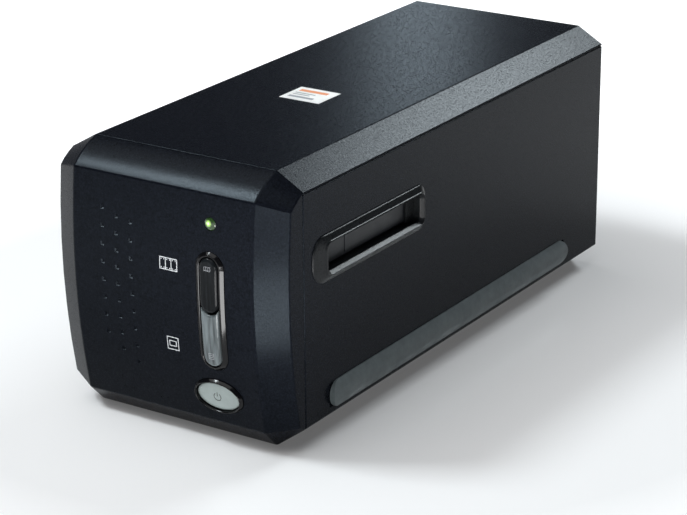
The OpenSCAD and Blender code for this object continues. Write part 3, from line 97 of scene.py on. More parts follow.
def fill_ramp(node, stops):
    """Gives a colour ramp node two or more stops: (position, colour)."""
    elements = node.color_ramp.elements
    for element, (position, colour) in zip(elements, (stops[0], stops[-1])):
        element.position = position
        element.color = (*colour, 1)
    for position, colour in stops[1:-1]:
        elements.new(position).color = (*colour, 1)


class Nodes:
    """A material's node tree, with a principled shader that takes its numbers on its own sockets."""

    def __init__(self, name, colour, roughness, **sockets):
        self.material = bpy.data.materials.new(name)
        self.material.use_nodes = True
        self.material.diffuse_color = (*colour, 1)
        self.tree = self.material.node_tree
        self.shader = self.tree.nodes["Principled BSDF"]
        self.colour = colour
        self.set("Base Color", (*colour, 1))
        self.set("Roughness", roughness)
        for socket, value in sockets.items():
            self.set(socket.replace("_", " "), value)
        self.place = self.add("ShaderNodeTexCoord").outputs["Object"]

    def set(self, socket, value):
        self.shader.inputs[socket].default_value = value

    def link(self, output, socket):
        self.tree.links.new(output, self.shader.inputs[socket])

    def feed(self, socket, value):
        """Links an output to a node's socket, or sets the socket's own value."""
        if isinstance(value, bpy.types.NodeSocket):
            self.tree.links.new(value, socket)
        else:
            socket.default_value = value

    def add(self, kind, **inputs):
        node = self.tree.nodes.new(kind)
        for name, value in inputs.items():
            self.feed(node.inputs[name.replace("_", " ")], value)
        return node

    def combine(self, kind, operation, first, second):
        """What a math node of this kind makes of two values."""
        node = self.add(kind)
        node.operation = operation
        self.feed(node.inputs[0], first)
        self.feed(node.inputs[1], second)
        return node.outputs["Value"]

    def ramp(self, value, stops):
        node = self.add("ShaderNodeValToRGB", Fac=value)
        fill_ramp(node, stops)
        return node.outputs["Color"]

    def noise(self, size, detail=2.0, rough=0.5, stretch=(1, 1, 1)):
        """Noise whose grains are about size metres, finer by stretch along each axis."""
        place = self.add("ShaderNodeMapping", Vector=self.place, Scale=stretch).outputs["Vector"]
        node = self.add("ShaderNodeTexNoise", Vector=place, Scale=1 / size, Detail=detail, Roughness=rough)
        return node.outputs["Fac"]

    def cells(self, size):
        node = self.add("ShaderNodeTexVoronoi", Vector=self.place, Scale=1 / size)
        return node.outputs["Distance"]

    def span(self, value, read, given):
        """Maps the value from one range, (low, high), to another, and holds it at its ends."""
        node = self.add("ShaderNodeMapRange", Value=value)
        ends = {"From Min": read[0], "From Max": read[1], "To Min": given[0], "To Max": given[1]}
        for name, end in ends.items():
            node.inputs[name].default_value = end
        return node.outputs["Result"]

    def vary_colour(self, value, darker, lighter):
        """The colour goes from darker to lighter times itself with the value."""
        dark = tuple(c * darker for c in self.colour)
        light = tuple(min(1, c * lighter) for c in self.colour)
        self.link(self.ramp(value, ((NOISE_LOW, dark), (NOISE_HIGH, light))), "Base Color")

    def vary_roughness(self, value, low, high):
        self.link(self.span(value, (NOISE_LOW, NOISE_HIGH), (low, high)), "Roughness")

    def bump(self, *layers):
        """Bumps on top of each other: (height value, depth in metres, strength)."""
        normal = None
        for value, depth, strength in layers:
            node = self.add("ShaderNodeBump", Height=value, Distance=depth, Strength=strength)
            if normal is not None:
                self.tree.links.new(normal, node.inputs["Normal"])
            normal = node.outputs["Normal"]
        self.link(normal, "Normal")


def textured_plastic(name, colour, grain, depth, roughness=(0.36, 0.5), level=0.4, **sockets):
    """A spark-eroded moulding: fine pebbled grain with slight changes of tone and gloss."""
    look = Nodes(name, colour, roughness[0], Specular_IOR_Level=level, **sockets)
    pebbles = look.noise(grain, detail=3, rough=0.6)
    look.vary_colour(look.noise(grain * 1.5, detail=4, rough=0.7), darker=0.4, lighter=1.8)
    look.vary_roughness(pebbles, *roughness)
    look.bump((pebbles, depth, 0.55), (look.cells(grain * 0.8), depth / 2, 0.3))
    return look.material


def smooth_plastic(name, colour, roughness=(0.25, 0.35), level=0.45, **sockets):
    """A satin or glossy moulding with faint flow marks."""
    look = Nodes(name, colour, roughness[0], Specular_IOR_Level=level, **sockets)
    look.vary_colour(look.noise(12 * MM, detail=5, rough=0.6), darker=0.88, lighter=1.14)
    look.vary_roughness(look.noise(6 * MM, detail=4), *roughness)
    look.bump((look.noise(1.5 * MM, detail=2), 0.01 * MM, 0.25))
    return look.material


def painted_streak_plastic(name, colour, roughness, level):
    """A clear smoked moulding whose colour carries faint upright streaks of painted highlight, over faint
    upright bumps.
    """
    upright = (1, 1, 0.06)
    look = Nodes(name, colour, roughness[0], Specular_IOR_Level=level)
    # The lighter upright streaks in the colour are painted highlight streaks.
    look.vary_colour(look.noise(1.4 * MM, detail=3, rough=0.6, stretch=upright), darker=0.45, lighter=1.7)
    look.vary_roughness(look.noise(4 * MM, detail=3), *roughness)
    look.bump((look.noise(1.4 * MM, detail=2, rough=0.5, stretch=upright), 0.03 * MM, 0.3))
    return look.material


def rubber(name, colour):
    look = Nodes(name, colour, 0.55, Specular_IOR_Level=0.32)
    look.vary_colour(look.noise(4 * MM, detail=5, rough=0.65), darker=0.85, lighter=1.2)
    look.vary_roughness(look.noise(15 * MM, detail=4), 0.42, 0.62)
    look.bump((look.noise(0.5 * MM, detail=3), 0.04 * MM, 0.45))
    return look.material


def turned_metal(name, colour, roughness=(0.22, 0.38), stretch=(1, 1, 20)):
    """Rolled, drawn or turned metal: fine lines across the axis along which stretch is largest."""
    look = Nodes(name, colour, roughness[0], Metallic=1.0)
    lines = look.noise(1.2 * MM, detail=4, rough=0.6, stretch=stretch)
    look.vary_colour(look.noise(10 * MM, detail=4), darker=0.88, lighter=1.1)
    look.vary_roughness(lines, *roughness)
    look.bump((lines, 0.01 * MM, 0.3))
    return look.material


def glass(name, colour):
    look = Nodes(name, colour, 0.02, Transmission_Weight=0.9, IOR=1.5, Coat_Weight=0.3)
    look.vary_colour(look.noise(4 * MM, detail=2), darker=0.95, lighter=1.05)
    look.vary_roughness(look.noise(2 * MM, detail=3), 0.01, 0.04)
    return look.material


def mirror(name, colour):
    look = Nodes(name, colour, 0.03, Metallic=1.0)
    look.vary_colour(look.noise(8 * MM, detail=3), darker=0.97, lighter=1.02)
    look.vary_roughness(look.noise(3 * MM, detail=4), 0.015, 0.05)
    return look.material


def circuit_board(name, colour):
    """Solder mask with the faint lines of the copper tracks under it."""
    look = Nodes(name, colour, 0.35, Specular_IOR_Level=0.5)
    place = look.add("ShaderNodeMapping", Vector=look.place, Scale=TRACKS_PER_METRE).outputs["Vector"]
    tracks = look.add("ShaderNodeTexBrick", Vector=place, Scale=1.0, Mortar_Size=0.08).outputs["Fac"]
    look.vary_colour(tracks, darker=0.8, lighter=1.5)
    look.vary_roughness(look.noise(2 * MM, detail=3), 0.28, 0.42)
    look.bump((tracks, 0.03 * MM, 0.4))
    return look.material


def lit_lens(name, colour, centre, reach):
    """A clear green lens over its lamp: the core is pale and the rim is deep green."""
    look = Nodes(name, colour, 0.12, Specular_IOR_Level=0.5, Coat_Weight=0.5)
    away = look.combine("ShaderNodeVectorMath", "DISTANCE", look.place, centre)
    share = look.combine("ShaderNodeMath", "DIVIDE", away, reach)
    glow = look.ramp(share, ((0, (0.9, 1.0, 0.7)), (0.28, (0.28, 0.5, 0.1)), (0.62, (0.012, 0.03, 0.008))))
    look.link(glow, "Emission Color")
    look.link(glow, "Base Color")
    look.set("Emission Strength", 0.6)
    look.vary_roughness(look.noise(1 * MM, detail=3), 0.08, 0.18)
    return look.material


def ink(name, colour, roughness=0.5):
    look = Nodes(name, colour, roughness)
    look.vary_colour(look.noise(0.6 * MM, detail=3), darker=0.9, lighter=1.08)
    look.vary_roughness(look.noise(2 * MM, detail=2), roughness * 0.85, roughness * 1.1)
    return look.material


# Radius of the status lens, and how far its bright core lies left of and above its middle.
LED_RADIUS = 2.6 * MM
LED_LEFT, LED_RAISE = 0.5 * MM, 0.3 * MM
# Tracks on a circuit board along each axis.
TRACKS_PER_METRE = (400, 700, 400)


def status_light(name, colour):
    """The status lens, whose core is seen a little up and to the left of the middle of its front."""
    low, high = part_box("status_lens")
    centre = Vector(((low.x + high.x) / 2 - LED_LEFT, low.y, (low.z + high.z) / 2 + LED_RAISE))
    return lit_lens(name, colour, centre, LED_RADIUS)


# The finish of each material slot: the function that makes it, and its options.
# A slot keeps the record's colour where the options give none, and is smooth plastic where it isn't listed.
FINISHES = {
    "casing_black": (textured_plastic, dict(
        colour=(0.0042, 0.005, 0.0075), grain=0.7 * MM, depth=0.04 * MM, roughness=(0.14, 0.34), level=0.06,
        Specular_Tint=(0.72, 0.88, 1, 1))),
    "slot_black": (textured_plastic, dict(
        colour=(0.007, 0.008, 0.009), grain=0.6 * MM, depth=0.03 * MM, roughness=(0.24, 0.38), level=0.18)),
    "frame_grey": (textured_plastic, dict(grain=1.2 * MM, depth=0.04 * MM)),
    "door_black": (smooth_plastic, dict(colour=(0.014, 0.016, 0.019), roughness=(0.3, 0.45), level=0.25)),
    "trim_gloss": (smooth_plastic, dict(colour=(0.003, 0.003, 0.0035), roughness=(0.07, 0.12), level=0.26)),
    "power_silver": (smooth_plastic, dict(
        colour=(0.32, 0.37, 0.36), roughness=(0.2, 0.28), level=0.5, Metallic=0.25)),
    "label_paper": (smooth_plastic, dict(colour=(0.86, 0.85, 0.83), roughness=(0.3, 0.4))),
    "button_dark": (painted_streak_plastic, dict(
        colour=(0.006, 0.007, 0.008), roughness=(0.08, 0.14), level=0.08)),
    "button_smoke": (painted_streak_plastic, dict(
        colour=(0.085, 0.1, 0.105), roughness=(0.1, 0.18), level=0.35)),
    "bumper_grey": (rubber, dict(colour=(0.08, 0.096, 0.1))),
    "foot_rubber": (rubber, dict(colour=(0.03, 0.03, 0.03))),
    "belt_black": (rubber, {}),
    "light_green": (status_light, {}),
    "screw_steel": (turned_metal, {}),
    "pin_steel": (turned_metal, dict(roughness=(0.18, 0.32), stretch=(1, 20, 1))),
    "motor_steel": (turned_metal, dict(roughness=(0.25, 0.4))),
    "bushing_bronze": (turned_metal, dict(roughness=(0.3, 0.45), stretch=(4, 4, 4))),
    "lens_black": (turned_metal, dict(roughness=(0.3, 0.4), stretch=(1, 20, 1))),
    "board_green": (circuit_board, {}),
    "mirror_glass": (mirror, {}),
    "lens_clear": (glass, {}),
}


def make_materials():
    """Makes each slot's material, and gives every CAD node its own."""
    made = {}
    for entry in record["materials"]:
        slot = entry["slot"]
        maker, options = FINISHES.get(slot, (smooth_plastic, {}))
        made[slot] = maker(slot, **{"colour": tuple(entry["base_color"]), **options})
    for node, piece in frame["nodes"].items():
        piece.data.materials.clear()
        piece.data.materials.append(made[slot_of[node]])
    return made


# ---------- rounded mouldings ----------

# How far outside the part a line that looks for its surface starts.
RAY_START = 0.5
# Corners closer than this are one: in the CAD meshes, and in the finished mouldings.
WELD = 0.001 * MM
FINE_WELD = 0.0005 * MM
# Faces that turn less than this are one flat face.
FLAT_ANGLE = math.radians(0.2)
# Edges that turn more than this are sharp.
SHARP_ANGLE = math.radians(18)
# A point this close to the convex hull lies on it.
HULL_REACH = 0.02 * MM
# An edge longer than this that has only one face outside is a seam between two mouldings.
SEAM_LENGTH = 15 * MM
BEVEL_SEGMENTS = 3
# A face that looks this nearly along the bow's radius lies on the bow.
BOW_MATCH = math.cos(math.radians(2.5))
# Faces that look this nearly the same way join smoothly.
SMOOTH_JOIN = math.cos(math.radians(40))
# A line up the bowed face here crosses neither dimples nor controls.
PLAIN_X = 8 * MM
# The mouldings with rounded edges: (node, width of the rounding, whether it takes in the rims of openings).
SOFT_EDGES = (
    ("upper_cover", 0.45 * MM, False),
    ("lower_case", 0.45 * MM, False),
    ("front_bezel", 0.6 * MM, False),
    ("rear_panel", 0.3 * MM, True),
)


class Surface:
    """Finds where a straight line along an axis meets a node's outer surface, as the render shows it."""

    def __init__(self, node, direction):
        self.direction = Vector(direction)
        dressed = bpy.data.objects.get(node + "_moulding")
        data = (dressed or frame["nodes"][node]).data
        self.tree = BVHTree.FromPolygons([v.co for v in data.vertices], [p.vertices for p in data.polygons])

    def at(self, point):
        start = Vector(point) - self.direction * RAY_START
        hit = self.tree.ray_cast(start, self.direction)[0]
        return hit if hit is not None else Vector(point)


def node_mesh(node):
    """A working copy of a CAD node's mesh, with its doubled corners joined."""
    mesh = bmesh.new()
    mesh.from_mesh(frame["nodes"][node].data)
    bmesh.ops.remove_doubles(mesh, verts=mesh.verts, dist=WELD)
    return mesh


def mesh_data(mesh, name):
    """Ends the working mesh and returns it as a named one."""
    data = bpy.data.meshes.new(name)
    mesh.to_mesh(data)
    mesh.free()
    return data


def outer_edges(mesh, rims):
    """The sharp edges that lie on the mesh's convex hull: its corners and long seams, and with rims the
    edges of its openings too."""
    hull = mesh.copy()
    made = bmesh.ops.convex_hull(hull, input=hull.verts)
    loose = set(made["geom_interior"]) | set(made["geom_unused"])
    bmesh.ops.delete(hull, geom=[g for g in loose if isinstance(g, bmesh.types.BMVert)], context="VERTS")
    kept = {f for f in made["geom"] if isinstance(f, bmesh.types.BMFace)}
    bmesh.ops.delete(hull, geom=[f for f in hull.faces if f not in kept], context="FACES")
    tree = BVHTree.FromBMesh(hull)

    def on_hull(point):
        return tree.find_nearest(point, HULL_REACH)[0] is not None

    def face_on_hull(face):
        return on_hull(face.calc_center_median()) and all(on_hull(v.co) for v in face.verts)

    outside = {f for f in mesh.faces if face_on_hull(f)}

    def chosen(edge):
        faces = set(edge.link_faces)
        if rims or outside.issuperset(faces):
            return True
        return edge.calc_length() > SEAM_LENGTH and outside & faces

    found = [
        e for e in mesh.edges
        if len(e.link_faces) == 2 and e.calc_face_angle(0) > SHARP_ANGLE and e.is_convex
        and on_hull(e.verts[0].co) and on_hull(e.verts[1].co)
        and on_hull((e.verts[0].co + e.verts[1].co) / 2)
        and chosen(e)
    ]
    hull.free()
    return found


def bow_axis():
    """The middle of the front face's bow in (y, z), and its radius, from three points on the face."""
    face = Surface("front_bezel", Y)
    low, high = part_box("front_bezel")
    heights = [low.z + (high.z - low.z) * share for share in (0.3, 0.5, 0.7)]
    (y0, z0), (y1, z1), (y2, z2) = [(face.at((PLAIN_X, 0, z)).y, z) for z in heights]
    a, b = y1 - y0, z1 - z0
    c, d = y2 - y0, z2 - z0
    e = a * (y0 + y1) + b * (z0 + z1)
    f = c * (y0 + y2) + d * (z0 + z2)
    g = 2 * (a * d - b * c)
    y, z = (d * e - b * f) / g, (a * f - c * e) / g
    return y, z, math.hypot(y0 - y, z0 - z)


def moulded_normals(mesh):
    """Each corner's normal: the bow's own on the bowed front, and elsewhere the mean of the smoothly joined
    faces by area, so that flat faces stay flat and only the rounded edges turn."""
    mesh.normal_update()
    area = {f: f.calc_area() for f in mesh.faces}
    normals = []
    for face in mesh.faces:
        middle = face.calc_center_median()
        radial = Vector((0, middle.y - bow_y, middle.z - bow_z)).normalized()
        bowed = face.normal.dot(radial) > BOW_MATCH
        for corner in face.loops:
            place = corner.vert.co
            if bowed:
                normal = Vector((0, place.y - bow_y, place.z - bow_z)).normalized()
            else:
                normal = Vector((0, 0, 0))
                for other in corner.vert.link_faces:
                    if other.normal.dot(face.normal) > SMOOTH_JOIN:
                        normal += other.normal * area[other]
                normal.normalize()
            normals.append(normal)
    return normals


def place_piece(data, name, slot, body, replaces=None, material=None):
    data.materials.append(material or materials[slot])
    piece = bpy.data.objects.new(name, data)
    scene.collection.objects.link(piece)
    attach(piece, body)
    if replaces:
        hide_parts(replaces)


def place_moulding(mesh, name, node, replaces=None):
    """Makes the working mesh a piece with a moulding's shading, in a node's finish and on its body."""
    normals = moulded_normals(mesh)
    data = mesh_data(mesh, name)
    data.normals_split_custom_set(normals)
    place_piece(data, name, slot_of[node], body_of[node], replaces)


def soften(node, width, rims):
    """Puts a copy of a CAD node in its place, with its outer edges rounded as a moulding's are."""
    mesh = node_mesh(node)
    bmesh.ops.dissolve_limit(
        mesh, angle_limit=FLAT_ANGLE, verts=mesh.verts, edges=mesh.edges, use_dissolve_boundaries=False)
    bmesh.ops.bevel(
        mesh, geom=outer_edges(mesh, rims), offset=width, segments=BEVEL_SEGMENTS, profile=0.5,
        affect="EDGES", clamp_overlap=False)
    place_moulding(mesh, node + "_moulding", node, node)


# ---------- controls on the bowed face ----------

BUTTON_WIDTH = 8.6 * MM
BUTTON_SPLIT = 60 * MM
BUTTON_GAP = 0.8 * MM
BUTTON_PROUD = 2.0 * MM
# Width of a scan button's rounded edge, and how far the edge falls as a share of that.
BUTTON_EDGE = 1.6 * MM
BUTTON_EDGE_FALL = 0.75
BUTTON_COLUMNS, BUTTON_ROWS = 24, 40
# Where the new front of a button meets the CAD solid: for the scan buttons, this far behind the foremost
# line of the face, and for the power button, this far behind the front of its solid.
SCAN_BUTTON_CUT = 2.6 * MM
POWER_BUTTON_CUT = 4.6 * MM
# How far the trims reach into the face.
TRIM_DEPTH = 0.8 * MM
# The surround's opening is this much wider than the buttons, and its ends are this wide.
SURROUND_PLAY = 0.6 * MM
SURROUND_ENDS = 2.0 * MM
RING_WIDTH = 1.4 * MM
# Sections of the two glossy trims: (share of the way inwards, height over the face in mm).
SURROUND_SECTION = (
    (0, 0.1), (0.01, 0.2), (0.04, 0.27), (0.08, 0.33), (0.52, 1.18), (0.6, 1.25), (0.69, 1.29),
    (0.78, 1.3), (0.86, 1.24), (0.94, 1.05), (0.99, 0.75), (1, 0.4))
RING_SECTION = (
    (0, 0.2), (0.02, 0.38), (0.06, 0.52), (0.46, 1.34), (0.53, 1.48), (0.62, 1.6), (0.72, 1.65),
    (0.82, 1.58), (0.91, 1.34), (0.97, 1.0), (1, 0.5))
# Section of the power button's cap: (share of the way outwards, height over the face in mm).
CAP_SECTION = (
    (1, -0.2), (0.998, 0.15), (0.99, 0.32), (0.97, 0.48), (0.93, 0.62), (0.86, 0.76), (0.74, 0.9),
    (0.58, 1.03), (0.4, 1.12), (0.22, 1.18), (0.08, 1.2))


def on_bow(x, z, rise):
    """The point over (x, z) of the front view, rise outside the bowed face."""
    lean = (z - bow_z) / bow_r
    return Vector((x, bow_y - (bow_r + rise) * math.sqrt(1 - lean * lean), bow_z + (bow_r + rise) * lean))


def stadium(centre_x, width, low, high, turns=16, rows=14):
    """Points (x, z) round an upright stadium."""
    r = width / 2
    straight = high - low - width
    right = [(centre_x + r, low + r + straight * i / rows) for i in range(rows)]
    top = [(centre_x + r * math.cos(math.pi * i / turns), high - r + r * math.sin(math.pi * i / turns))
           for i in range(turns)]
    left = [(centre_x - r, high - r - straight * i / rows) for i in range(rows)]
    bottom = [(centre_x - r * math.cos(math.pi * i / turns), low + r - r * math.sin(math.pi * i / turns))
              for i in range(turns)]
    return right + top + left + bottom


def ellipse(centre_x, centre_z, a, b, count=72):
    turns = [2 * math.pi * i / count for i in range(count)]
    return [(centre_x + a * math.cos(t), centre_z + b * math.sin(t)) for t in turns]


def loft(mesh, rings, closed=False):
    """Quads between rings of points; closed joins the last ring to the first."""
    rows = [[mesh.verts.new(p) for p in ring] for ring in rings]
    for low, high in zip(rows, rows[1:] + ([rows[0]] if closed else [])):
        for i in range(len(low)):
            j = (i + 1) % len(low)
            mesh.faces.new((low[i], low[j], high[j], high[i]))
    return rows


def cut_away(mesh, place, outward):
    """Removes what lies outward of a plane, and returns the edges of the cut."""
    whole = mesh.verts[:] + mesh.edges[:] + mesh.faces[:]
    cut = bmesh.ops.bisect_plane(mesh, geom=whole, plane_co=place, plane_no=outward, clear_outer=True)
    return [e for e in cut["geom_cut"] if isinstance(e, bmesh.types.BMEdge)]


def finish_moulding(mesh, name, node, replaces=None):
    bmesh.ops.remove_doubles(mesh, verts=mesh.verts, dist=FINE_WELD)
    bmesh.ops.recalc_face_normals(mesh, faces=mesh.faces)
    place_moulding(mesh, name, node, replaces)


def finish_control(mesh, node):
    finish_moulding(mesh, node + "_moulding", node, node)


def make_trim(node, section, outline):
    """A rounded glossy trim ring. outline(share) gives its points at a share of the way inwards."""
    mesh = bmesh.new()
    rings = [[on_bow(x, z, -TRIM_DEPTH) for x, z in outline(0)]]
    rings += [[on_bow(x, z, rise * MM) for x, z in outline(share)] for share, rise in section]
    rings.append([on_bow(x, z, -TRIM_DEPTH) for x, z in outline(1)])
    loft(mesh, rings, closed=True)
    finish_control(mesh, node)


def rear_of(node, cut_y):
    """The part of a CAD node behind y = cut_y, closed with a flat face."""
    mesh = node_mesh(node)
    bmesh.ops.edgeloop_fill(mesh, edges=cut_away(mesh, (0, cut_y, 0), (0, -1, 0)))
    return mesh


def make_scan_button(node, bottom, top, depth):
    """A button whose cap is a pillow. It reaches from bottom(x) to top(x), and depth(x, z) is the way in
    from its edge."""
    low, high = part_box(node)
    centre_x = (low.x + high.x) / 2
    cut_y = bow_y - bow_r + SCAN_BUTTON_CUT
    mesh = rear_of(node, cut_y)
    grid = []
    for i in range(BUTTON_COLUMNS + 1):
        x = -BUTTON_WIDTH / 2 * math.cos(math.pi * i / BUTTON_COLUMNS)
        z0, z1 = bottom(x), top(x)
        column = []
        for j in range(BUTTON_ROWS + 1):
            z = z0 + (z1 - z0) * (1 - math.cos(math.pi * j / BUTTON_ROWS)) / 2
            share = min(1, max(0, depth(x, z) / BUTTON_EDGE))
            fall = BUTTON_EDGE * BUTTON_EDGE_FALL * (1 - math.sqrt(1 - (1 - share) ** 2))
            column.append(mesh.verts.new(on_bow(centre_x + x, z, BUTTON_PROUD - fall)))
        grid.append(column)
    for left, right in zip(grid, grid[1:]):
        for j in range(BUTTON_ROWS):
            mesh.faces.new((left[j], right[j], right[j + 1], left[j + 1]))
    lower = [column[0] for column in grid]
    upper = [column[-1] for column in grid]
    rim = lower + grid[-1][1:] + upper[-2::-1] + grid[0][-2:0:-1]
    back = [mesh.verts.new((v.co.x, cut_y, v.co.z)) for v in rim]
    for i in range(len(rim)):
        j = (i + 1) % len(rim)
        mesh.faces.new((rim[i], rim[j], back[j], back[i]))
    mesh.faces.new(back)
    finish_control(mesh, node)


def make_scan_buttons():
    """Two buttons in one upright stadium: the upper one's round lower end sits in a hollow of the other."""
    low_z, high_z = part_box("lower_scan_button")[0].z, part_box("upper_scan_button")[1].z
    r = BUTTON_WIDTH / 2
    hollow = r + BUTTON_GAP
    lowest, split, highest = low_z + r, BUTTON_SPLIT + r, high_z - r

    def arc(radius, x):
        return math.sqrt(max(0, radius * radius - x * x))

    def to_axis(x, z, z0, z1):
        """The way in from the edge of a stadium whose end centres are at z0 and z1."""
        return r - math.hypot(x, z - min(z1, max(z0, z)))

    make_scan_button(
        "upper_scan_button", lambda x: split - arc(r, x), lambda x: highest + arc(r, x),
        lambda x, z: to_axis(x, z, split, highest))
    make_scan_button(
        "lower_scan_button", lambda x: lowest - arc(r, x), lambda x: split - arc(hollow, x),
        lambda x, z: min(to_axis(x, z, lowest, split), math.hypot(x, z - split) - hollow))


def make_button_surround():
    low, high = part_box("button_surround")
    centre_x, width = (low.x + high.x) / 2, high.x - low.x
    opening = BUTTON_WIDTH + SURROUND_PLAY
    make_trim("button_surround", SURROUND_SECTION, lambda share: stadium(
        centre_x, width + (opening - width) * share, low.z + SURROUND_ENDS * share,
        high.z - SURROUND_ENDS * share))


def make_power_ring():
    low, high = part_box("power_ring")
    centre_x, centre_z = (low.x + high.x) / 2, (low.z + high.z) / 2
    a, b = (high.x - low.x) / 2, (high.z - low.z) / 2
    make_trim("power_ring", RING_SECTION, lambda share: ellipse(
        centre_x, centre_z, a - RING_WIDTH * share, b - RING_WIDTH * share))


def make_power_button():
    """A domed oval cap, which leaves the same gap to its ring all round."""
    node = "power_button"
    ring_low, ring_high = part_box("power_ring")
    low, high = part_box(node)
    centre_x, centre_z = (low.x + high.x) / 2, (ring_low.z + ring_high.z) / 2
    b = (high.z - low.z) / 2
    a = (ring_high.x - ring_low.x) / 2 - (ring_high.z - ring_low.z) / 2 + b
    cut_y = low.y + POWER_BUTTON_CUT
    mesh = rear_of(node, cut_y)
    rings = [[Vector((x, cut_y, z)) for x, z in ellipse(centre_x, centre_z, a, b)]]
    rings += [[on_bow(x, z, rise * MM) for x, z in ellipse(centre_x, centre_z, a * share, b * share)]
              for share, rise in CAP_SECTION]
    rows = loft(mesh, rings)
    mesh.faces.new(rows[-1])
    mesh.faces.new(rows[0][::-1])
    finish_control(mesh, node)


# Columns of square dimples, in mm: (x, height of the top one, count, pitch).
DIMPLE_COLUMNS = ((-30, 94.5, 8, 7.8), (-22.8, 91.8, 9, 7.3), (-15.6, 90.6, 9, 7.75))
# Section of the sloped wall in a dimple: (half of the square's side, depth behind its rim), in mm.
DIMPLE_SECTION = ((0.91, 0.56), (0.91, 0), (0.46, 0.52), (0.46, 0.56))
# How far the walls' rims lie under the face.
DIMPLE_SINK = 0.01 * MM
SQUARE = ((-1, -1), (1, -1), (1, 1), (-1, 1))


def make_dimple_walls():
    """The sloped walls inside the square dimples."""
    mesh = bmesh.new()
    rim = DIMPLE_SECTION[0][0]
    for x, top, count, pitch in DIMPLE_COLUMNS:
        for i in range(count):
            z = top - i * pitch
            rim_y = {side: on_bow(x * MM, (z + side * rim) * MM, -DIMPLE_SINK).y for side in (-1, 1)}
            rings = []
            for half, depth in DIMPLE_SECTION:
                rings.append([Vector(((x + sx * half) * MM, rim_y[sz] + depth * MM, (z + sz * half) * MM))
                              for sx, sz in SQUARE])
            loft(mesh, rings, closed=True)
    finish_moulding(mesh, "dimple_walls", "front_bezel")


# ---------- slot bezels ----------

# Section of a slot bezel's raised border: (way outwards from the mouth, height over the side wall), in mm.
BORDER_SECTION = (
    (0.9, -0.1), (0.9, 0), (4, 0), (4, 0.25), (3.92, 0.5), (3.74, 0.7), (3.46, 0.86), (1.62, 1.98),
    (1.5, 2.08), (1.38, 2.3), (1.2, 2.46), (1.0, 2.5), (0.86, 2.4), (0.74, 2.2), (-0.2, 0.85),
    (-0.3, 0.65), (-0.35, 0.4), (-0.35, -0.1))
BORDER_WIDTH = 4 * MM
MOUTH_HALF_L = 36.35 * MM
MOUTH_HALF_H = 6.05 * MM
MOUTH_RADIUS = 2.2 * MM
# As far as this from the mouth the border keeps an even distance. Beyond it, it reaches forwards this many
# times as far as up and down, and the radius of its rear corners grows by this share of the distance.
BORDER_LAND = 0.8 * MM
NOSE_STRETCH = 2.575
TAIL_STRETCH = 0.6
# Half of the straight stretch between the two rounded corners of the nose.
NOSE_FLAT = 0.1 * MM
# How far under the side wall's surface the border meets the CAD tunnel.
BORDER_SINK = 0.1 * MM


def border_outline(out, turns=10):
    """Points (y, z) round a slot bezel at a distance outside its mouth, about the mouth's centre."""
    land = min(out, BORDER_LAND)
    grow = max(0, out - BORDER_LAND)
    front, back = MOUTH_HALF_L + land + grow * NOSE_STRETCH, MOUTH_HALF_L + land + grow
    half_h = MOUTH_HALF_H + land + grow
    tail = MOUTH_RADIUS + land + grow * TAIL_STRETCH
    nose = min(half_h - NOSE_FLAT, tail + grow)
    corners = (
        (1, 1, back, tail, 0), (-1, 1, front, nose, 90),
        (-1, -1, front, nose, 180), (1, -1, back, tail, 270))
    points = []
    for side_y, side_z, far, r, start in corners:
        centre_y, centre_z = side_y * (far - r), side_z * (half_h - r)
        for i in range(turns + 1):
            a = math.radians(start + 90 * i / turns)
            points.append((centre_y + r * math.cos(a), centre_z + r * math.sin(a)))
    return points


def make_slot_bezel(node, side):
    """The bezel's raised border, lofted round the mouth, in front of the tunnel from the CAD."""
    low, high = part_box(node)
    centre_y, centre_z = high.y - MOUTH_HALF_L - BORDER_WIDTH, (low.z + high.z) / 2
    wall_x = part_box("lower_case")[1].x
    mesh = node_mesh(node)
    rim = cut_away(mesh, (side * (wall_x - BORDER_SINK), 0, 0), (side, 0, 0))
    bmesh.ops.triangle_fill(mesh, edges=rim, use_beauty=True)
    rings = []
    for out, rise in BORDER_SECTION:
        x = side * (wall_x + rise * MM)
        rings.append([Vector((x, centre_y + y, centre_z + z)) for y, z in border_outline(out * MM)])
    loft(mesh, rings, closed=True)
    finish_control(mesh, node)


# ---------- prints ----------

PRINT_THICKNESS = 0.03 * MM
# Share of that by which a print reaches into the surface.
PRINT_SINK = 0.3
# The two pictograms left of the scan buttons.
PICTOGRAM_SIZE = 5 * MM
PICTOGRAM_X = 3.5 * MM
STRIP_Z, FRAME_Z = 76.5 * MM, 41.5 * MM
# The marks on the buttons, and how far those of the scan buttons are from the far ends of the pair.
UPPER_MARK_SIZE, UPPER_MARK_IN = 1.7 * MM, 4.2 * MM
LOWER_MARK_SIZE, LOWER_MARK_IN = 2.2 * MM, 4.6 * MM
POWER_MARK_SIZE = 1.7 * MM
# The generic print on the label, in shares of its size: (x and y of the middle, width, height).
LABEL_BAR = ((-0.04, 0.26, 0.7, 0.16),)
LABEL_LINES = ((-0.14, 0.04, 0.5, 0.05), (-0.18, -0.08, 0.42, 0.05), (-0.08, -0.27, 0.62, 0.12))
# Width of a mark's lines as a share of its size.
LINE = 0.07
POWER_LINE = 0.22


def box_outline(x, y, width, height):
    """The corners of a box about its middle."""
    return [(x + sx * width / 2, y + sy * height / 2) for sx, sy in SQUARE]


def stroke(points, width, closed=False):
    """A ribbon along the points, as one box of four corners for each stretch."""
    quads = []
    count = len(points)
    for i in range(count if closed else count - 1):
        p, q = Vector(points[i]), Vector(points[(i + 1) % count])
        along = (q - p).normalized()
        side = Vector((-along.y, along.x)) * width / 2
        cap = along * width / 2
        quads.append((p - cap + side, p - cap - side, q + cap - side, q + cap + side))
    return quads


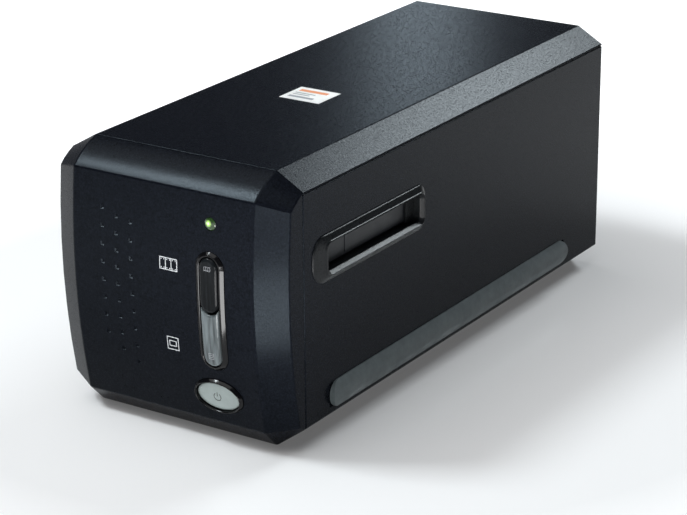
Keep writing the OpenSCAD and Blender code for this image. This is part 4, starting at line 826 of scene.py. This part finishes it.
def film_strip_mark(size):
    """A strip of film: three frames side by side between two rows of holes."""
    width, height = size * 1.7, size
    hole_w, hole_h, hole_y = size * 0.1, size * 0.08, size * 0.36
    marks = stroke(box_outline(0, 0, width, height), size * LINE, True)
    for k in (-1, 1):
        marks += stroke([(k * width / 6, -height / 2), (k * width / 6, height / 2)], size * LINE)
        marks += [box_outline((i - 2.5) * width / 6, k * hole_y, hole_w, hole_h) for i in range(6)]
    return marks


def single_frame_mark(size):
    """One mounted frame: a square mount with its window."""
    mount, window_w, window_h = size * 1.1, size * 0.66, size * 0.44
    return (stroke(box_outline(0, 0, mount, mount), size * LINE, True)
            + stroke(box_outline(0, 0, window_w, window_h), size * LINE, True))


def power_mark(size):
    """A ring that is open at the top, with a bar in the gap."""
    turns = [math.radians(a) for a in range(40, 321, 14)]
    ring = [(size * math.sin(a), size * math.cos(a)) for a in turns]
    return stroke(ring, size * POWER_LINE) + stroke([(0, size * 0.25), (0, size * 1.15)], size * POWER_LINE)


def print_on(node, name, polygons, origin, material, slot="label_paper", direction=Y, upward=Z):
    """Lays flat polygons, drawn in X and upward about the origin, on a node's surface as a thin layer of
    ink. direction is the way in which the surface is looked at."""
    surface = Surface(node, direction)
    mesh = bmesh.new()
    lift = -surface.direction * PRINT_THICKNESS
    for polygon in polygons:
        base = [surface.at(Vector(origin) + X * p[0] + upward * p[1]) for p in polygon]
        low, high = loft(mesh, [[p - lift * PRINT_SINK for p in base], [p + lift for p in base]])
        mesh.faces.new(high)
        mesh.faces.new(low[::-1])
    bmesh.ops.recalc_face_normals(mesh, faces=mesh.faces)
    place_piece(mesh_data(mesh, name), name, slot, body_of[node], material=material)


def make_prints():
    white = ink("ink_white", (0.62, 0.64, 0.66))
    grey = ink("ink_grey", (0.03, 0.035, 0.035))
    pale = ink("ink_pale_grey", (0.3, 0.31, 0.33))
    orange = ink("ink_orange", (0.78, 0.3, 0.14))
    strip, one_frame = film_strip_mark(PICTOGRAM_SIZE), single_frame_mark(PICTOGRAM_SIZE)
    print_on("front_bezel", "strip_print", strip, (PICTOGRAM_X, 0, STRIP_Z), white)
    print_on("front_bezel", "frame_print", one_frame, (PICTOGRAM_X, 0, FRAME_Z), white)
    low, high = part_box("upper_scan_button")
    print_on("upper_scan_button", "upper_button_print", film_strip_mark(UPPER_MARK_SIZE),
             ((low.x + high.x) / 2, 0, high.z - UPPER_MARK_IN), pale)
    low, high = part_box("lower_scan_button")
    print_on("lower_scan_button", "lower_button_print", single_frame_mark(LOWER_MARK_SIZE),
             ((low.x + high.x) / 2, 0, low.z + LOWER_MARK_IN), pale)
    low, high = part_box("power_button")
    print_on("power_button", "power_print", power_mark(POWER_MARK_SIZE),
             ((low.x + high.x) / 2, 0, (low.z + high.z) / 2), grey, slot="chip_black")
    low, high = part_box("top_label")
    middle, size = (low + high) / 2, high - low
    for name, boxes, colour in (("label_bar", LABEL_BAR, orange), ("label_lines", LABEL_LINES, pale)):
        polygons = [box_outline(x * size.x, y * size.y, w * size.x, h * size.y) for x, y, w, h in boxes]
        print_on("top_label", name, polygons, (middle.x, middle.y, 0), colour, direction=-Z, upward=Y)


# ---------- stage and light ----------

FLOOR_RADIUS = 14
FLOOR_SIDES = 96
# The floor lies this far under the feet, so that their faces don't coincide.
FLOOR_DROP = 0.02 * MM
# What the floor adds to its lit colour where it is seen: little near the part, where its shadow lies, so
# that the floor there is darker as painted shade, and more beyond.
PAINTED_SHADE_GLOW, FAR_GLOW = 0.1, 0.62
NEAR_REACH, FAR_REACH = 0.2, 0.36
# The world's colour by height: pale at the horizon and dim overhead, so that the casing's top stays dark.
WORLD_STOPS = ((0.03, (0.4, 0.42, 0.45)), (0.2, (0.022, 0.023, 0.026)))
WHITE, COOL, BLUISH = (1, 1, 1), (0.88, 0.96, 1), (0.72, 0.88, 1)
# The lamps: (name, place, what it is aimed at, size, watts, colour).
LAMPS = (
    ("softbox", (-0.4, -0.4, 1.6), (0, 0, 0.06), (2, 1.8), 18, WHITE),
    ("key_back", (0.27, 1.22, 0.97), (0, 0.02, 0.06), (0.6, 0.3), 11, COOL),
    ("key_left", (-0.73, -0.44, 1.21), (0, -0.1, 0.08), (0.3, 0.3), 12, COOL),
    ("back_strip", (-1.3, 2.21, 0.85), (0, 0.05, 0.1), (0.14, 0.6), 0.65, BLUISH),
    ("fill_front", (0.9, -1.6, 0.1), (0.02, -0.1, 0.06), (0.6, 0.3), 8, WHITE),
    ("low_panel", (0.145, -0.28, 0.004), (0.145, -0.28, 1), (0.15, 0.15), 1.1, WHITE),
)


def floor_paper():
    """Pale paper, which glows a little for the camera and in reflections and lights nothing; it glows less
    near the part, which is painted shade round it.
    """
    look = Nodes("floor_paper", (0.88, 0.865, 0.86), 0.2, Specular_IOR_Level=0.4)
    look.vary_roughness(look.noise(0.4, detail=2), 0.16, 0.24)
    rays = look.add("ShaderNodeLightPath").outputs
    seen = look.combine("ShaderNodeMath", "MAXIMUM", rays["Is Camera Ray"], rays["Is Glossy Ray"])
    seen = look.combine("ShaderNodeMath", "MAXIMUM", seen, rays["Is Transmission Ray"])
    away = look.combine("ShaderNodeVectorMath", "DISTANCE", look.place, (0, 0, 0))
    # Less glow near the part darkens the floor round it: painted shade on top of the lamps' shadow.
    glow = look.span(away, (NEAR_REACH, FAR_REACH), (PAINTED_SHADE_GLOW, FAR_GLOW))
    look.set("Emission Color", (1, 1, 1, 1))
    look.link(look.combine("ShaderNodeMath", "MULTIPLY", seen, glow), "Emission Strength")
    return look.material


def make_stage():
    """A pale floor that runs to the horizon."""
    mesh = bmesh.new()
    bmesh.ops.create_circle(mesh, cap_ends=True, radius=FLOOR_RADIUS, segments=FLOOR_SIDES)
    data = mesh_data(mesh, "floor")
    data.materials.append(floor_paper())
    floor = bpy.data.objects.new("floor", data)
    floor.location.z = -FLOOR_DROP
    scene.collection.objects.link(floor)


def make_world():
    world = bpy.data.worlds.new("world")
    scene.world = world
    world.use_nodes = True
    tree = world.node_tree
    place = tree.nodes.new("ShaderNodeTexCoord")
    parts = tree.nodes.new("ShaderNodeSeparateXYZ")
    ramp = tree.nodes.new("ShaderNodeValToRGB")
    fill_ramp(ramp, WORLD_STOPS)
    tree.links.new(place.outputs["Generated"], parts.inputs["Vector"])
    tree.links.new(parts.outputs["Z"], ramp.inputs["Fac"])
    tree.links.new(ramp.outputs["Color"], tree.nodes["Background"].inputs["Color"])


def make_lights():
    for name, place, aim, size, power, colour in LAMPS:
        data = bpy.data.lights.new(name, "AREA")
        data.shape = "RECTANGLE"
        data.size, data.size_y = size
        data.energy = power
        data.color = colour
        lamp = bpy.data.objects.new(name, data)
        lamp.location = place
        lamp.rotation_euler = (Vector(aim) - Vector(place)).to_track_quat("-Z", "Y").to_euler()
        lamp.visible_camera = False
        scene.collection.objects.link(lamp)


# ---------- the scene ----------

scene.view_settings.view_transform = "Standard"
make_camera()
materials = make_materials()
bow_y, bow_z, bow_r = bow_axis()
for moulding, edge_width, rounds_rims in SOFT_EDGES:
    soften(moulding, edge_width, rounds_rims)
make_button_surround()
make_power_ring()
make_power_button()
make_scan_buttons()
make_dimple_walls()
make_slot_bezel("slot_bezel_right", 1)
make_slot_bezel("slot_bezel_left", -1)
make_prints()
make_stage()
make_world()
make_lights()
